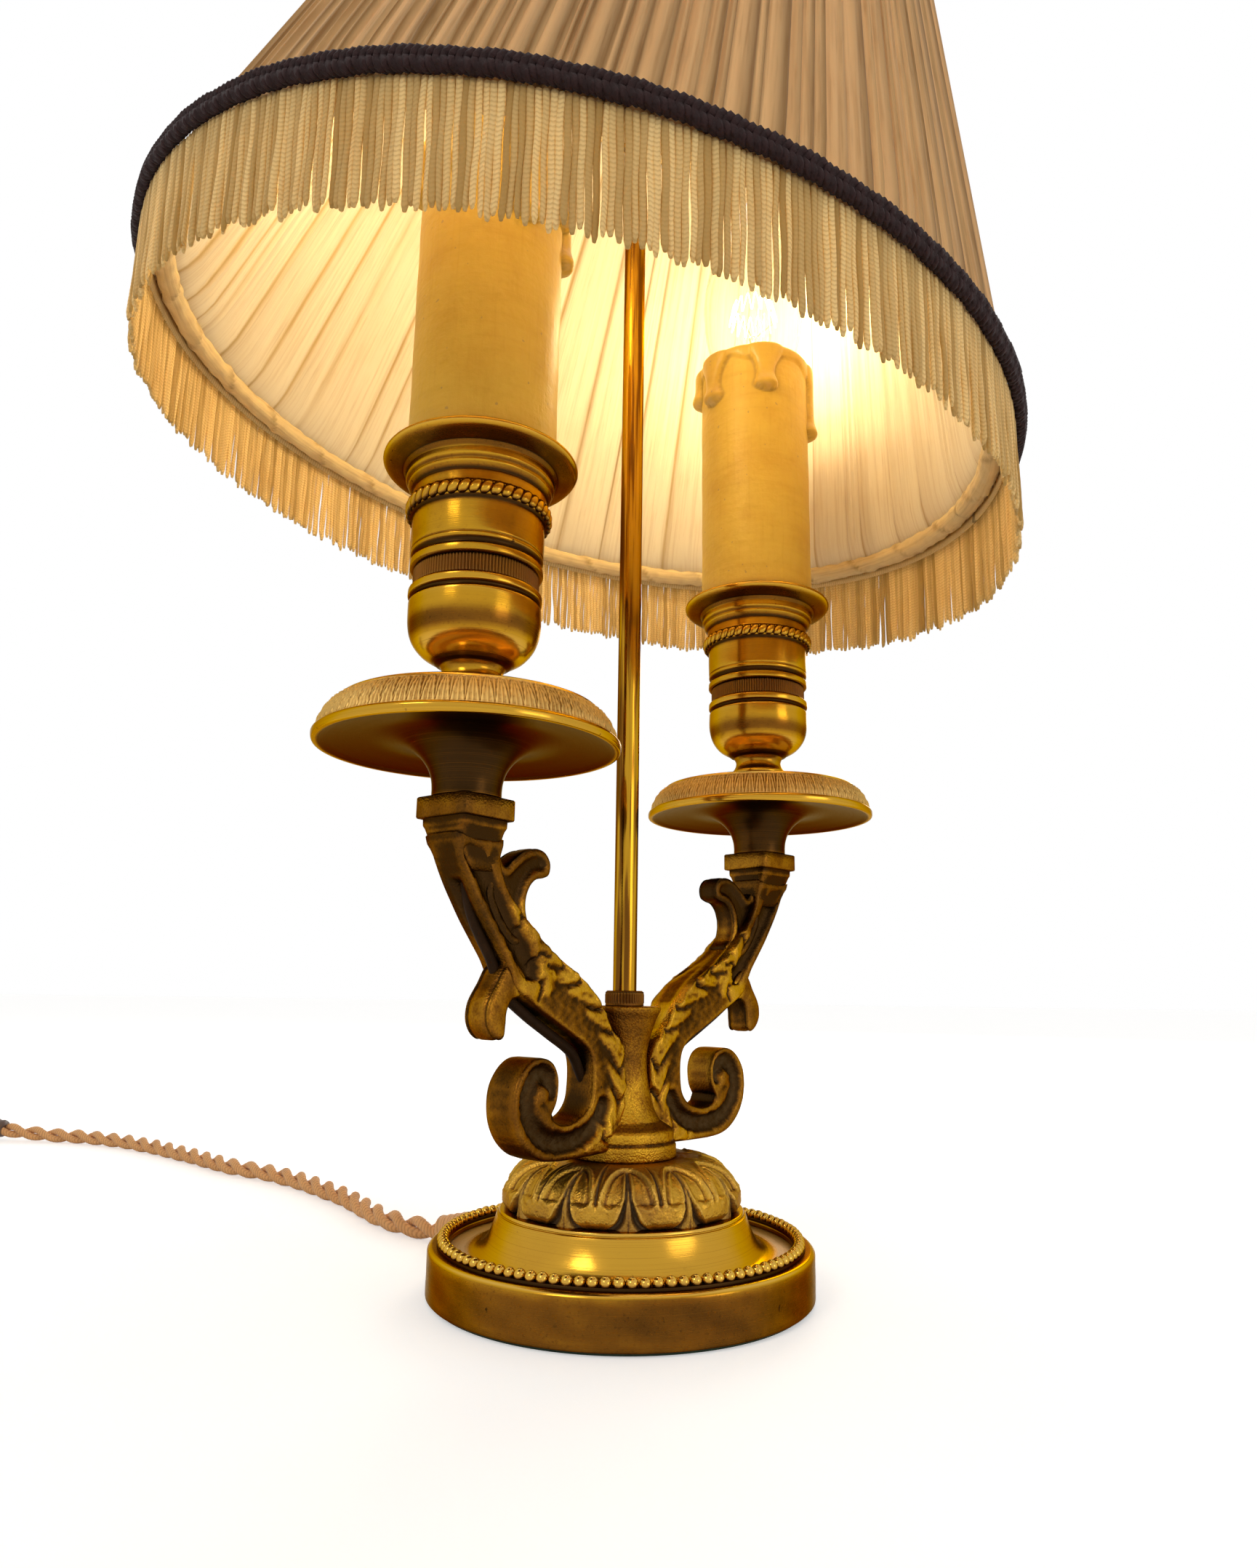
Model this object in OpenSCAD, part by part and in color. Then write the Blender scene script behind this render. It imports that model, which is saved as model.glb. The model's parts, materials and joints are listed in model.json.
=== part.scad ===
// Bedside lamp: a gilt base with a short column, two scrolled candle arms and a pleated, fringed shade.
// Millimetres, +Z up. The origin is on the table under the middle of the base, and -Y is the front.

/* [Base] */
// Radius of the base drum
base_r = 48.5; // [46:0.5:56]
// Height of the base drum's top edge above the table
base_h = 12.1; // [11.6:0.1:16]
// Wall of the base drum
drum_wall = 2.4; // [1.6:0.1:3.2]
// Width of the drum's flat top lip
lip_w = 5.2; // [4.4:0.1:7]
// Thickness of the lip
lip_t = 1.5; // [1:0.1:2.2]
// Thickness of the felt under the base
felt_t = 0.8; // [0.4:0.1:1.2]
// Thickness of the steel cover over the felt
cover_t = 0.8; // [0.5:0.1:1.2]
// Height of the ballast ring
ballast_h = 6.4; // [4:0.1:7]
// Half width of the beaded moulding
bead_r = 1.35; // [1:0.05:1.6]
// Thickness of the well plate
plate_t = 1.5; // [1:0.1:2]
// Radius of the flange on top of the cone
flange_r = 30.9; // [29.8:0.1:33]
// Height of the flange above the drum's edge
flange_rise = 8.1; // [7:0.1:12]
// Radius of the leaf dome
dome_r = 29.4; // [27:0.1:29.8]
// Height of the leaf dome
dome_h = 12.2; // [9:0.1:16]
// Number of leaves round the dome
leaf_count = 12; // [8:1:16]

/* [Column] */
// Radius of the column's foot
foot_r = 13.9; // [12.5:0.1:15]
// Height of the column
column_h = 37.6; // [36:0.1:44]
// Radius of the column's waist
waist_r = 6.1; // [5.4:0.1:8]
// Radius of the column's top
column_top_r = 9.7; // [9:0.1:11]
// Radius of the bolt that ties the base together
tie_r = 3; // [2:0.1:3.4]
// Radius of the shade rod
rod_r = 3.15; // [2.5:0.05:3.6]
// Height of the rod's top above the table
rod_top = 400; // [398:1:440]
// Radius of the serrated nut at the rod's foot
rod_nut_r = 5.2; // [4.6:0.1:7]
// Height of the serrated nut
rod_nut_h = 4; // [3:0.1:6]
// Radius of the finial's ball
finial_r = 7.5; // [6:0.1:11]

/* [Arms] */
// Distance of each candle's axis from the rod
arm_reach = 60; // [58:0.5:64]
// Height of the arm's top above the column's foot
arm_rise = 84.1; // [80:0.1:92]
// Direction of the right arm, counted from +X towards +Y
right_turn = 42.5; // [35:0.5:55]
// Direction of the left arm
left_turn = 229; // [220:0.5:240]
// Width of the arm casting
arm_w = 9.5; // [8:0.1:12]
// Width of the leaf curls
curl_w = 7.2; // [5:0.1:8]
// Width of the square block under the pan
block_w = 16.4; // [16:0.1:20]
// Height of the square block
block_h = 5; // [3:0.1:6]
// Radius of the wire that runs along the arm
wire_r = 1.3; // [0.9:0.05:1.4]
// Radius of the threaded nipple through pan and cup
nipple_r = 5; // [4:0.1:5.4]
// Depth of the nipple's thread in the block
nipple_depth = 9; // [6:0.1:9.5]

/* [Drip pans] */
// Radius of the drip pan's rim
pan_r = 35.2; // [33:0.1:38]
// Height of the pan's rim above the block
pan_rise = 11.2; // [9:0.1:14]
// Height of the leaf band above the rim
pan_band_h = 9.8; // [7:0.1:12]
// Width of the sloping leaf band
pan_band_w = 5.9; // [4:0.1:8]
// Height of the whole pan with its boss
pan_h = 25.5; // [24:0.1:30]
// Radius of the pan's stem
stem_r = 8; // [7.4:0.1:8.2]

/* [Candle cups] */
// Radius of the cup's cylinder
cup_r = 15.85; // [15.6:0.05:17]
// Height of the bowl at the bottom of the cup
bowl_h = 24; // [22:0.1:28]
// Height of the knurled ring
knurl_h = 4.4; // [3:0.1:6]
// Height of the collar with its flange
collar_h = 29.1; // [27:0.1:34]
// Radius of the flange that carries the candle
cup_flange_r = 23.5; // [20:0.1:26]
// Wall of the cup
cup_wall = 1.3; // [1:0.1:1.6]

/* [Candles and bulbs] */
// Outer radius of the candle sleeve
candle_r = 18; // [17.6:0.1:19]
// Wall of the candle sleeve
candle_wall = 1.5; // [1:0.1:1.8]
// Length of the candle sleeve
candle_h = 85.3; // [82:0.1:95]
// Radius of a wax drip
drip_r = 2.5; // [1.8:0.1:3]
// Radius of the bulb's cap
cap_r = 11; // [10.8:0.05:11.1]
// Length of the bulb's cap
cap_h = 25; // [22:0.5:26]
// Largest radius of the bulb's glass
bulb_r = 17.2; // [16:0.1:17.5]
// Length of the bulb's glass above its cap
bulb_h = 78.7; // [72:0.1:82]
// Wall of the bulb's glass
glass_t = 0.8; // [0.5:0.1:1.2]
// Radius of the bayonet pins
bayonet_r = 1; // [0.8:0.05:1.2]
// Angle that the bayonet turns through
bayonet_turn = 20; // [12:1:30]

/* [Shade] */
// Radius of the shade's bottom wire ring
shade_r = 119.2; // [116:0.1:130]
// Radius of the shade's top wire ring
shade_top_r = 72; // [70:0.1:80]
// Distance from the bottom ring to the top ring, along the shade's axis
shade_h = 150; // [147:0.5:158]
// Lean of the shade, as it hangs on its knuckle
lean = 11.7; // [8:0.1:14]
// Direction that the shade leans towards, counted from +X towards +Y
lean_turn = -18; // [-30:1:-5]
// Height of the tilting knuckle above the table
knuckle_z = 362.7; // [358:0.1:366]
// Distance of the tilting knuckle from the rod's axis
knuckle_off = 8.9; // [8.8:0.1:10]
// Distance from the knuckle down to the bottom ring, along the shade's axis
ring_drop = 122.8; // [119:0.1:124]
// Radius of the wire rings
ring_wire = 1.5; // [1:0.1:2]
// Radius of the ribbon wound on the bottom ring
binding_r = 2.4; // [2:0.1:3]
// Number of pleats in the outer cover
cover_pleats = 96; // [60:4:120]
// Number of pleats in the lining
lining_pleats = 72; // [48:4:96]
// Thickness of the pleated cloth
cloth_t = 0.7; // [0.5:0.05:1]
// Depth of a pleat
pleat_depth = 0.7; // [0.4:0.05:1.2]
// Height of the braid
braid_h = 5.6; // [4:0.1:8]
// Thickness of the braid
braid_t = 1.6; // [1:0.1:2.5]
// Length of the fringe below the bottom ring
fringe_h = 29.6; // [20:0.1:40]
// Number of fringe strands
fringe_count = 360; // [300:4:420]
// Radius of one fringe strand
strand_r = 0.75; // [0.5:0.05:0.85]

/* [Cord] */
// Diameter of the twisted cord
cord_d = 6.4; // [5:0.1:6.6]
// Height of the cord where it leaves the drum
gland_z = 6.2; // [5.8:0.1:6.4]
// Direction in which the cord leaves the drum
gland_turn = 135; // [130:1:140]
// Outer radius of the first loop of the coil
coil_r = 45; // [44:0.5:52]
// Number of loops in each layer of the coil
coil_loops = 3; // [2:1:4]
// Length of the switch's case
switch_l = 60; // [52:0.5:70]
// Width of the switch's case
switch_w = 24; // [20:0.1:30]
// Height of the switch's case
switch_h = 15; // [14.4:0.1:18]
// Length of the plug's body
plug_l = 34; // [30:0.1:40]
// Width of the plug's body
plug_w = 35; // [32:0.1:38]
// Height of the plug's body
plug_h = 13.8; // [13.2:0.1:16]
// Radius of the plug's pins
plug_pin_r = 2; // [1.8:0.05:2.4]
// Length of the plug's pins
plug_pin_l = 19; // [16:0.5:20]
// Distance between the plug's pins
plug_pin_gap = 19; // [18:0.5:20]

/* [Hidden] */
$fn = 96;

// Running gap round whatever turns or slides
run_gap = 0.1;
// Gap beside pieces that only sit next to each other
seat_gap = 0.2;
// Overshoot of a cut past the face it opens
over = 1;

// Heights of the base, from the table up
cover_z = felt_t;
ballast_z = cover_z + cover_t;
plate_top = base_h - lip_t;
plate_z = plate_top - plate_t;
flange_z = base_h + flange_rise;
dome_top = flange_z + dome_h;
column_top = dome_top + column_h;

// Radii inside the base
drum_in = base_r - drum_wall;
lip_in = base_r - lip_w;
boss_r = tie_r * 3;
tie_hole = tie_r + seat_gap;

// Heights of the arm assembly
block_top = dome_top + arm_rise;
rim_z = block_top + pan_rise;
bowl_z = block_top + pan_h;
knurl_z = bowl_z + bowl_h;
collar_z = knurl_z + knurl_h;
candle_z = collar_z + collar_h;
candle_top = candle_z + candle_h;
cap_top = candle_top - 5.8;
cap_z = cap_top - cap_h;
nipple_hole = nipple_r + seat_gap / 2;
pin_z = cap_z + 7.6;

// Shape of the cloth on the shade's frame, as radii at the bottom ring
braid_low = -braid_h * 0.21;
cloth_lean = (shade_r - shade_top_r) / shade_h;
cover_in = shade_r + (binding_r + seat_gap) * norm([1, cloth_lean]) - braid_low * cloth_lean;
cover_out = cover_in + pleat_depth + cloth_t;
cover_len = shade_h + 1 - braid_low;
cover_share = (shade_top_r + binding_r + seat_gap) / cover_in;
function cover_at(z) = cover_out * (1 - (1 - cover_share) * (z - braid_low) / cover_len);
trim_in = cover_out + seat_gap;
lining_out = shade_r - binding_r - 0.3;
lining_top_out = shade_top_r - ring_wire - 0.4;
lining_top = shade_h - binding_r - 0.3;

function arc(cx, cz, r, a, b, n = 8) =
    [for (k = [0:n]) let (t = a + (b - a) * k / n) [cx + r * cos(t), cz + r * sin(t)]];
function reversed(list) = [for (k = [len(list) - 1:-1:0]) list[k]];
function unit(v) = v / norm(v);

module at_left() { rotate([0, 0, left_turn]) translate([arm_reach, 0, 0]) children(); }
module at_right() { rotate([0, 0, right_turn]) translate([arm_reach, 0, 0]) children(); }
module at_both() {
    at_left() children();
    at_right() children();
}
// A turned piece from its outline of radius and height
module turned(outline) { rotate_extrude() polygon(outline); }
module ring(r_in, r_out, z0, z1) { turned([[r_in, z0], [r_out, z0], [r_out, z1], [r_in, z1]]); }

// Base

module felt_pad() { color([0.16, 0.2, 0.15]) cylinder(h = felt_t, r = base_r - 1.5); }

module bottom_cover() {
    color([0.5, 0.5, 0.5]) ring(tie_r * 4, drum_in - seat_gap, cover_z, cover_z + cover_t);
}

module ballast_ring() {
    color([0.25, 0.24, 0.23]) ring(tie_r * 4.4, base_r - 8, ballast_z, ballast_z + ballast_h);
}

module base_drum() {
    shoulder = 0.8;
    color([0.72, 0.55, 0.24]) difference() {
        turned(concat(
            [[drum_in, felt_t], [base_r, felt_t]],
            arc(base_r - shoulder, base_h - shoulder, shoulder, 0, 90, 4),
            [[lip_in, base_h], [lip_in, plate_top], [drum_in, plate_top]]));
        gland_place() cylinder(h = drum_wall * 4, r = cord_d / 2 + 0.95, center = true);
    }
}

module base_plate() {
    rise = flange_z - 1 - plate_top;
    start = flange_r + 7.6;
    cove = [for (k = [0:6]) let (s = k / 6) [start - 6.9 * pow(s, 0.62), plate_top + rise * pow(s, 1.7)]];
    under = [for (p = reversed(cove)) [p[0] - plate_t * 1.2, p[1] - plate_t]];
    color([0.78, 0.6, 0.27]) turned(concat(
        [[tie_hole, plate_z], [boss_r, plate_z], [boss_r, flange_z - 2.4]],
        under,
        [[start, plate_z], [drum_in - seat_gap, plate_z], [drum_in - seat_gap, plate_top]],
        cove,
        [[flange_r, flange_z - 0.9], [flange_r, flange_z], [tie_hole, flange_z]]));
}

module bead_moulding() {
    middle = lip_in + 0.1 + bead_r;
    color([0.85, 0.68, 0.32]) turned(concat(
        [[middle - bead_r, base_h], [middle + bead_r, base_h]],
        arc(middle, base_h + bead_r * 0.85, bead_r, 0, 180, 10)));
}

module leaf_dome() {
    wall = 2.2;
    rim = dome_r - 0.9;
    outside = [[rim, flange_z], [dome_r - 0.1, flange_z + dome_h * 0.15], [dome_r, flange_z + dome_h * 0.34],
        [dome_r * 0.975, flange_z + dome_h * 0.56], [dome_r * 0.9, flange_z + dome_h * 0.76],
        [dome_r * 0.76, flange_z + dome_h * 0.91], [foot_r + 3.4, dome_top - 0.2], [foot_r + 0.8, dome_top]];
    inside = [for (p = reversed(outside)) [min(p[0] - wall, foot_r + 9), max(p[1] - wall, flange_z)]];
    color([0.66, 0.49, 0.22]) difference() {
        turned(concat([[tie_hole, dome_top], [tie_hole, dome_top - wall * 1.5], [boss_r, dome_top - wall * 1.5],
            [boss_r, dome_top - wall]], [for (k = [1:len(inside) - 1]) inside[k]], outside));
        for (k = [0:leaf_count - 1])
            rotate([0, 0, 360 * (k + 0.5) / leaf_count])
                translate([dome_r + 1.4, 0, flange_z - over])
                    cylinder(h = dome_h * 0.62 + over, r = 2.6, $fn = 24);
    }
}

// Column and rod

// The column's solid outline, grown by a gap, which also cuts the arms to its shape
module column_body(gap = 0) {
    z = dome_top;
    step = 3.6;
    turned([[0, z - gap], [foot_r + gap, z - gap], [foot_r + gap, z + step], [foot_r - 0.8 + gap, z + step + 0.3],
        [foot_r - 0.6 + gap, z + step + 0.6], [foot_r - 0.6 + gap, z + 6.8], [foot_r - 3.4 + gap, z + 8.1],
        [waist_r + 2.4 + gap, z + 11], [waist_r + 1 + gap, z + 14.6], [waist_r + 0.25 + gap, z + 18.6],
        [waist_r + gap, z + 22], [waist_r + 0.25 + gap, z + 26], [waist_r + 1.1 + gap, z + 30],
        [column_top_r - 1.2 + gap, column_top - 3.4], [column_top_r - 0.2 + gap, column_top - 1],
        [column_top_r + gap, column_top - 0.6], [column_top_r + gap, column_top + gap], [0, column_top + gap]]);
}

// The tie bolt reaches this far up the column, and the rod this far down
tie_reach = 22;
rod_sink = 12;

module column() {
    color([0.75, 0.56, 0.23]) difference() {
        column_body();
        translate([0, 0, dome_top - over]) cylinder(h = tie_reach + over, r = tie_hole);
        translate([0, 0, column_top - rod_sink]) cylinder(h = rod_sink + over, r = rod_r + run_gap);
    }
}

nut_z = felt_t + cover_t + 0.9;
washer_t = 1.2;

module tie_bolt() {
    foot = felt_t + cover_t;
    color([0.45, 0.43, 0.4]) translate([0, 0, foot]) cylinder(h = dome_top + tie_reach - foot, r = tie_r);
}

module tie_nut() {
    high = plate_z - washer_t - nut_z;
    color([0.5, 0.47, 0.42]) difference() {
        translate([0, 0, nut_z]) cylinder(h = high, r = tie_r * 1.9, $fn = 6);
        translate([0, 0, nut_z - over]) cylinder(h = high + 2 * over, r = tie_r + run_gap / 2);
    }
}

module tie_washer() { color([0.5, 0.48, 0.45]) ring(tie_r + seat_gap, tie_r * 2.8, plate_z - washer_t, plate_z); }

module rod_nut() {
    notches = 36;
    color([0.5, 0.38, 0.2]) difference() {
        translate([0, 0, column_top]) cylinder(h = rod_nut_h, r = rod_nut_r);
        translate([0, 0, column_top - over]) cylinder(h = rod_nut_h + 2 * over, r = rod_r + run_gap / 2);
        for (k = [0:notches - 1])
            rotate([0, 0, 360 * k / notches])
                translate([rod_nut_r + 0.1, 0, column_top + rod_nut_h / 2])
                    cube([0.7, rod_nut_r * 0.08, rod_nut_h * 0.8], center = true);
    }
}

module shade_rod() {
    foot = column_top - rod_sink;
    color([0.88, 0.7, 0.3]) translate([0, 0, foot]) cylinder(h = rod_top - foot, r = rod_r);
}

module finial() {
    z = rod_top - 5;
    neck = rod_r + 2;
    ball = z + 7 + finial_r * 0.87;
    color([0.82, 0.63, 0.28]) turned(concat(
        [[0, rod_top + seat_gap], [rod_r + run_gap, rod_top + seat_gap], [rod_r + run_gap, z], [neck + 1, z],
            [neck + 1, z + 2.4], [neck - 0.6, z + 3.6], [neck - 0.8, z + 6]],
        arc(0, ball, finial_r, -58, 74, 12),
        [[1.4, ball + finial_r + 1.6], [0, ball + finial_r + 2.2]]));
}

// Where the cord leaves the drum
module gland_place() {
    rotate([0, 0, gland_turn]) translate([base_r - drum_wall / 2, 0, gland_z]) rotate([0, 90, 0]) children();
}

gland_out = 2.4;

module cord_gland() {
    r = cord_d / 2;
    color([0.2, 0.15, 0.1]) gland_place() difference() {
        union() {
            translate([0, 0, -drum_wall / 2]) cylinder(h = drum_wall, r = r + 0.85);
            translate([0, 0, drum_wall / 2]) cylinder(h = gland_out, r = r + 1.6);
        }
        translate([0, 0, -drum_wall]) cylinder(h = drum_wall, r = r * 0.8);
    }
}

// Arms

// Height of the arm's outline at which the blocks and curls are set
neck_h = arm_rise - block_h - 5;
// Outline of the band that rises from the column's foot to the block, as reach and height above the foot
BAND = [[7.3, neck_h + 2], [5.5, neck_h - 3], [2.8, neck_h - 7.5], [-0.2, neck_h - 12.5], [-3.4, neck_h - 17],
    [-7, 52.6], [-10.4, 48.4], [-11.8, 45.6], [-13, 42.5], [-15.4, 40.4], [-22, 37.1], [-30, 33.1], [-38, 29.2],
    [-41, 27.1], [-42.2, 24.6], [-42.4, 17.6], [-41.7, 14.1], [-39, 11.6], [-35, 10.4], [-30.5, 10.2],
    [-26.5, 11.2], [-23.7, 13.4]];
// Outline of the scroll, from the gap behind it round to the foot
SCROLL = [[-26, 13.9], [-28.4, 15.6], [-29.4, 18.6], [-29.2, 21.6], [-27.5, 24.4], [-24.5, 25.8], [-21, 25.6],
    [-17.7, 23.6], [-15.2, 20.1], [-14.5, 16.1], [-15.2, 11.6], [-17.5, 7.6], [-21, 4.6], [-25, 3], [-30, 2.4],
    [-35, 2.5], [-41, 2.6]];
// Upper side of the band, from the column back up to the block
BACK = [[-48.5, 32.6], [-46, 36.6], [-43, 39.6], [-39.5, 43], [-34, 46.2], [-28, 49.4], [-24, 51.6], [-21, 53.8],
    [-17, 57.4], [-12.4, 61.2], [-8.6, 65], [-7, neck_h - 7], [-7.2, neck_h - 3], [-6.6, neck_h + 2]];
UPPER_CURL = [[-7.6, 70.8], [-10.4, 68.6], [-13, 71.2], [-16.5, 73.6], [-20.2, 74.8], [-23.7, 74.2],
    [-25.7, 71.9], [-25.4, 69.1], [-23.4, 68], [-20.8, 67.4], [-18.8, 65.6], [-17.6, 62.8], [-17.6, 59.6],
    [-18.8, 56.6], [-21, 53.8], [-13, 52], [-5, 62]];
LOWER_CURL = [[-11.8, 45.6], [-9, 42.9], [-6, 38.8], [-5.7, 35.1], [-7, 32.1], [-9.5, 30.4], [-11.5, 31],
    [-11.7, 33.6], [-11.8, 36.6], [-13.2, 39.1], [-15.4, 40.4], [-16, 45]];
// Middle line of the wire, from the hole in the stem to the block's bore
WIRE = [[-45, 17.5], [-42.2, 21.6], [-38.5, 26.6], [-30, 31.3], [-22, 35.6], [-14.8, 40.2], [-12, 44],
    [-9.6, 48.6], [-6.4, 53], [-3.4, 57.6], [-1.4, 63], [-0.4, 69], [0, arm_rise - nipple_depth - 0.5]];
slot_half = wire_r + 0.4;

function side_of(path, k) = let (a = path[max(k - 1, 0)], b = path[min(k + 1, len(path) - 1)], d = unit(b - a))
    [-d[1], d[0]];
function beside(path, gap) = [for (k = [0:len(path) - 1]) path[k] + side_of(path, k) * gap];
function placed(outline) = [for (p = outline) [arm_reach + p[0], dome_top + p[1]]];
// The inner ends stay at the column when the reach changes
inner_x = waist_r - arm_reach - 1;

module slab(outline, width) {
    rotate([90, 0, 0]) linear_extrude(height = width, center = true) polygon(placed(outline));
}

module arm() {
    top_w = block_w - 2.4;
    difference() {
        union() {
            slab(concat(BAND, SCROLL, [[inner_x, 2.6], [inner_x, 30]], BACK), arm_w);
            slab(UPPER_CURL, curl_w);
            slab(LOWER_CURL, curl_w);
            translate([arm_reach, 0, block_top - block_h / 2]) cube([block_w, block_w, block_h], center = true);
            translate([arm_reach, 0, block_top - block_h - 1.25]) cube([top_w, top_w, 2.5], center = true);
            translate([arm_reach, 0, block_top - block_h - 3.5]) cube([top_w - 1, top_w - 2, 3], center = true);
        }
        slab(concat(beside(WIRE, slot_half), reversed(beside(WIRE, -slot_half))), slot_half * 2);
        translate([arm_reach, 0, block_top - nipple_depth]) cylinder(h = nipple_depth + over, r = nipple_hole);
        column_body();
    }
}

module arm_left() { color([0.7, 0.52, 0.22]) rotate([0, 0, left_turn]) arm(); }
module arm_right() { color([0.7, 0.52, 0.22]) rotate([0, 0, right_turn]) arm(); }

// A round tube swept along points, with its first and last faces square to the path
function ahead(path, k) = unit(path[min(k + 1, len(path) - 1)] - path[max(k - 1, 0)]);
function across(d) = unit(cross(abs(d[2]) < 0.9 ? [0, 0, 1] : [0, 1, 0], d));
function hoop(path, k, r, n) = let (d = ahead(path, k), s = across(d), u = cross(d, s))
    [for (i = [0:n - 1]) path[k] + r * (s * cos(360 * i / n) + u * sin(360 * i / n))];
module swept(path, r, n) {
    count = len(path);
    points = [for (k = [0:count - 1]) each hoop(path, k, r, n)];
    sides = [for (k = [0:count - 2]) for (i = [0:n - 1]) let (j = (i + 1) % n, a = k * n, b = a + n)
        each [[a + i, b + i, a + j], [a + j, b + i, b + j]]];
    first = [for (i = [1:n - 2]) [0, i, i + 1]];
    last = [for (i = [1:n - 2]) let (z = (count - 1) * n) [z, z + i + 1, z + i]];
    polyhedron(points = points, faces = concat(sides, first, last));
}
// Points at even steps along a route, on a smooth curve through its own points
function curve_at(route, k, t) = let (n = len(route) - 1, p0 = route[max(k - 1, 0)], p1 = route[k],
    p2 = route[min(k + 1, n)], p3 = route[min(k + 2, n)])
    (2 * p1 + (p2 - p0) * t + (2 * p0 - 5 * p1 + 4 * p2 - p3) * t * t + (3 * p1 - p0 - 3 * p2 + p3) * t * t * t) / 2;
function smooth(route, steps) = let (n = len(route)) concat([route[0]],
    [for (k = [1:n - 3]) for (i = [0:steps - 1]) curve_at(route, k, i / steps)], [route[n - 2], route[n - 1]]);
function along(path, k = 0) = k >= len(path) - 1 ? 0 : norm(path[k + 1] - path[k]) + along(path, k + 1);

wire_path = [for (p = placed(WIRE)) [p[0], 0, p[1]]];
module arm_wire_left() { color([0.1, 0.08, 0.07]) rotate([0, 0, left_turn]) swept(wire_path, wire_r, 8); }
module arm_wire_right() { color([0.1, 0.08, 0.07]) rotate([0, 0, right_turn]) swept(wire_path, wire_r, 8); }

// Drip pans and candle cups

module drip_pan() {
    z = block_top;
    band_top = rim_z + pan_band_h;
    shelf_r = pan_r - pan_band_w;
    throat = stem_r + 1.4;
    dish_z = band_top - 3.5;
    turned([[nipple_hole, z], [stem_r, z], [stem_r, z + 2.6], [stem_r + 0.4, z + 4.6], [throat, z + 7],
        [throat + 2.4, z + 9.6], [throat + 6.6, z + 12.1], [pan_r - 9, rim_z + 1.6], [pan_r - 2, rim_z + 0.5],
        [pan_r - 1.4, rim_z], [pan_r, rim_z], [pan_r, rim_z + 2], [pan_r - 0.7, rim_z + 2.6],
        [shelf_r + 0.9, band_top - 0.6], [shelf_r, band_top], [shelf_r - 1.2, band_top], [shelf_r - 2, band_top - 2.6],
        [shelf_r - 5, dish_z], [stem_r + 5, dish_z], [stem_r + 1.4, dish_z + 1.6], [stem_r + 0.8, z + pan_h],
        [nipple_hole, z + pan_h]]);
}
module drip_pan_left() { color([0.66, 0.48, 0.2]) at_left() drip_pan(); }
module drip_pan_right() { color([0.66, 0.48, 0.2]) at_right() drip_pan(); }

nut_h = 3;
nipple_top = bowl_z + 10 + nut_h + 2;
module nipples() {
    low = block_top - nipple_depth;
    color([0.6, 0.5, 0.3]) at_both() ring(nipple_r - 1.6, nipple_r, low, nipple_top);
}
module nipple_nuts() {
    color([0.55, 0.47, 0.3]) at_both() difference() {
        translate([0, 0, bowl_z + 10]) cylinder(h = nut_h, r = nipple_r * 1.6, $fn = 6);
        translate([0, 0, bowl_z + 10 - over]) cylinder(h = nut_h + 2 * over, r = nipple_hole);
    }
}

module cup_bowl() {
    z = bowl_z;
    turned([[nipple_hole, z], [8.6, z], [8.4, z + 1], [7.3, z + 2.6], [7.1, z + 4.4], [7.8, z + 5.8], [9, z + 6.4],
        [12.6, z + 8.6], [14.8, z + 12], [15.6, z + 15.6], [15.5, z + 20.4], [15, z + 21.4], [cup_r, z + 22],
        [cup_r, z + 23.4], [15.2, z + bowl_h], [cup_r - cup_wall - 0.6, z + bowl_h], [cup_r - cup_wall - 0.6, z + 15.6],
        [12.6, z + 12], [10.2, z + 10], [nipple_hole, z + 10]]);
}
module cup_bowl_left() { color([0.78, 0.58, 0.25]) at_left() cup_bowl(); }
module cup_bowl_right() { color([0.78, 0.58, 0.25]) at_right() cup_bowl(); }

module knurled_rings() {
    color([0.45, 0.3, 0.2]) at_both() ring(cup_r - cup_wall - 1, cup_r - 1, knurl_z, knurl_z + knurl_h);
}

module cup_collar() {
    z = collar_z;
    top = candle_z;
    inner = cup_r - cup_wall;
    turned([[inner, z], [cup_r, z], [cup_r, z + 2.1], [cup_r - 0.7, z + 2.7], [cup_r - 0.7, z + 3.5], [cup_r, z + 4.1],
        [cup_r, top - 15.6], [cup_r + 1.4, top - 15], [cup_r + 1.8, top - 13.8], [cup_r + 1.4, top - 12.6],
        [cup_r + 0.4, top - 12], [cup_r + 0.3, top - 9], [cup_r + 1.2, top - 7.4], [cup_r + 2, top - 6],
        [cup_r + 2.1, top - 3.6], [cup_flange_r - 3, top - 2.6], [cup_flange_r - 0.5, top - 2],
        [cup_flange_r, top - 1.4], [cup_flange_r - 0.2, top - 0.4], [cup_flange_r - 0.9, top], [inner, top]]);
}
module cup_collar_left() { color([0.74, 0.55, 0.23]) at_left() cup_collar(); }
module cup_collar_right() { color([0.74, 0.55, 0.23]) at_right() cup_collar(); }

// Candles and their lamps

// Direction and length of each wax drip
DRIPS_LEFT = [[20, 14], [62, 22], [95, 30], [150, 12], [205, 17], [262, 12], [318, 19]];
DRIPS_RIGHT = [[12, 13], [70, 10], [140, 15], [196, 11], [238, 14], [282, 15], [338, 26]];

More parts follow.
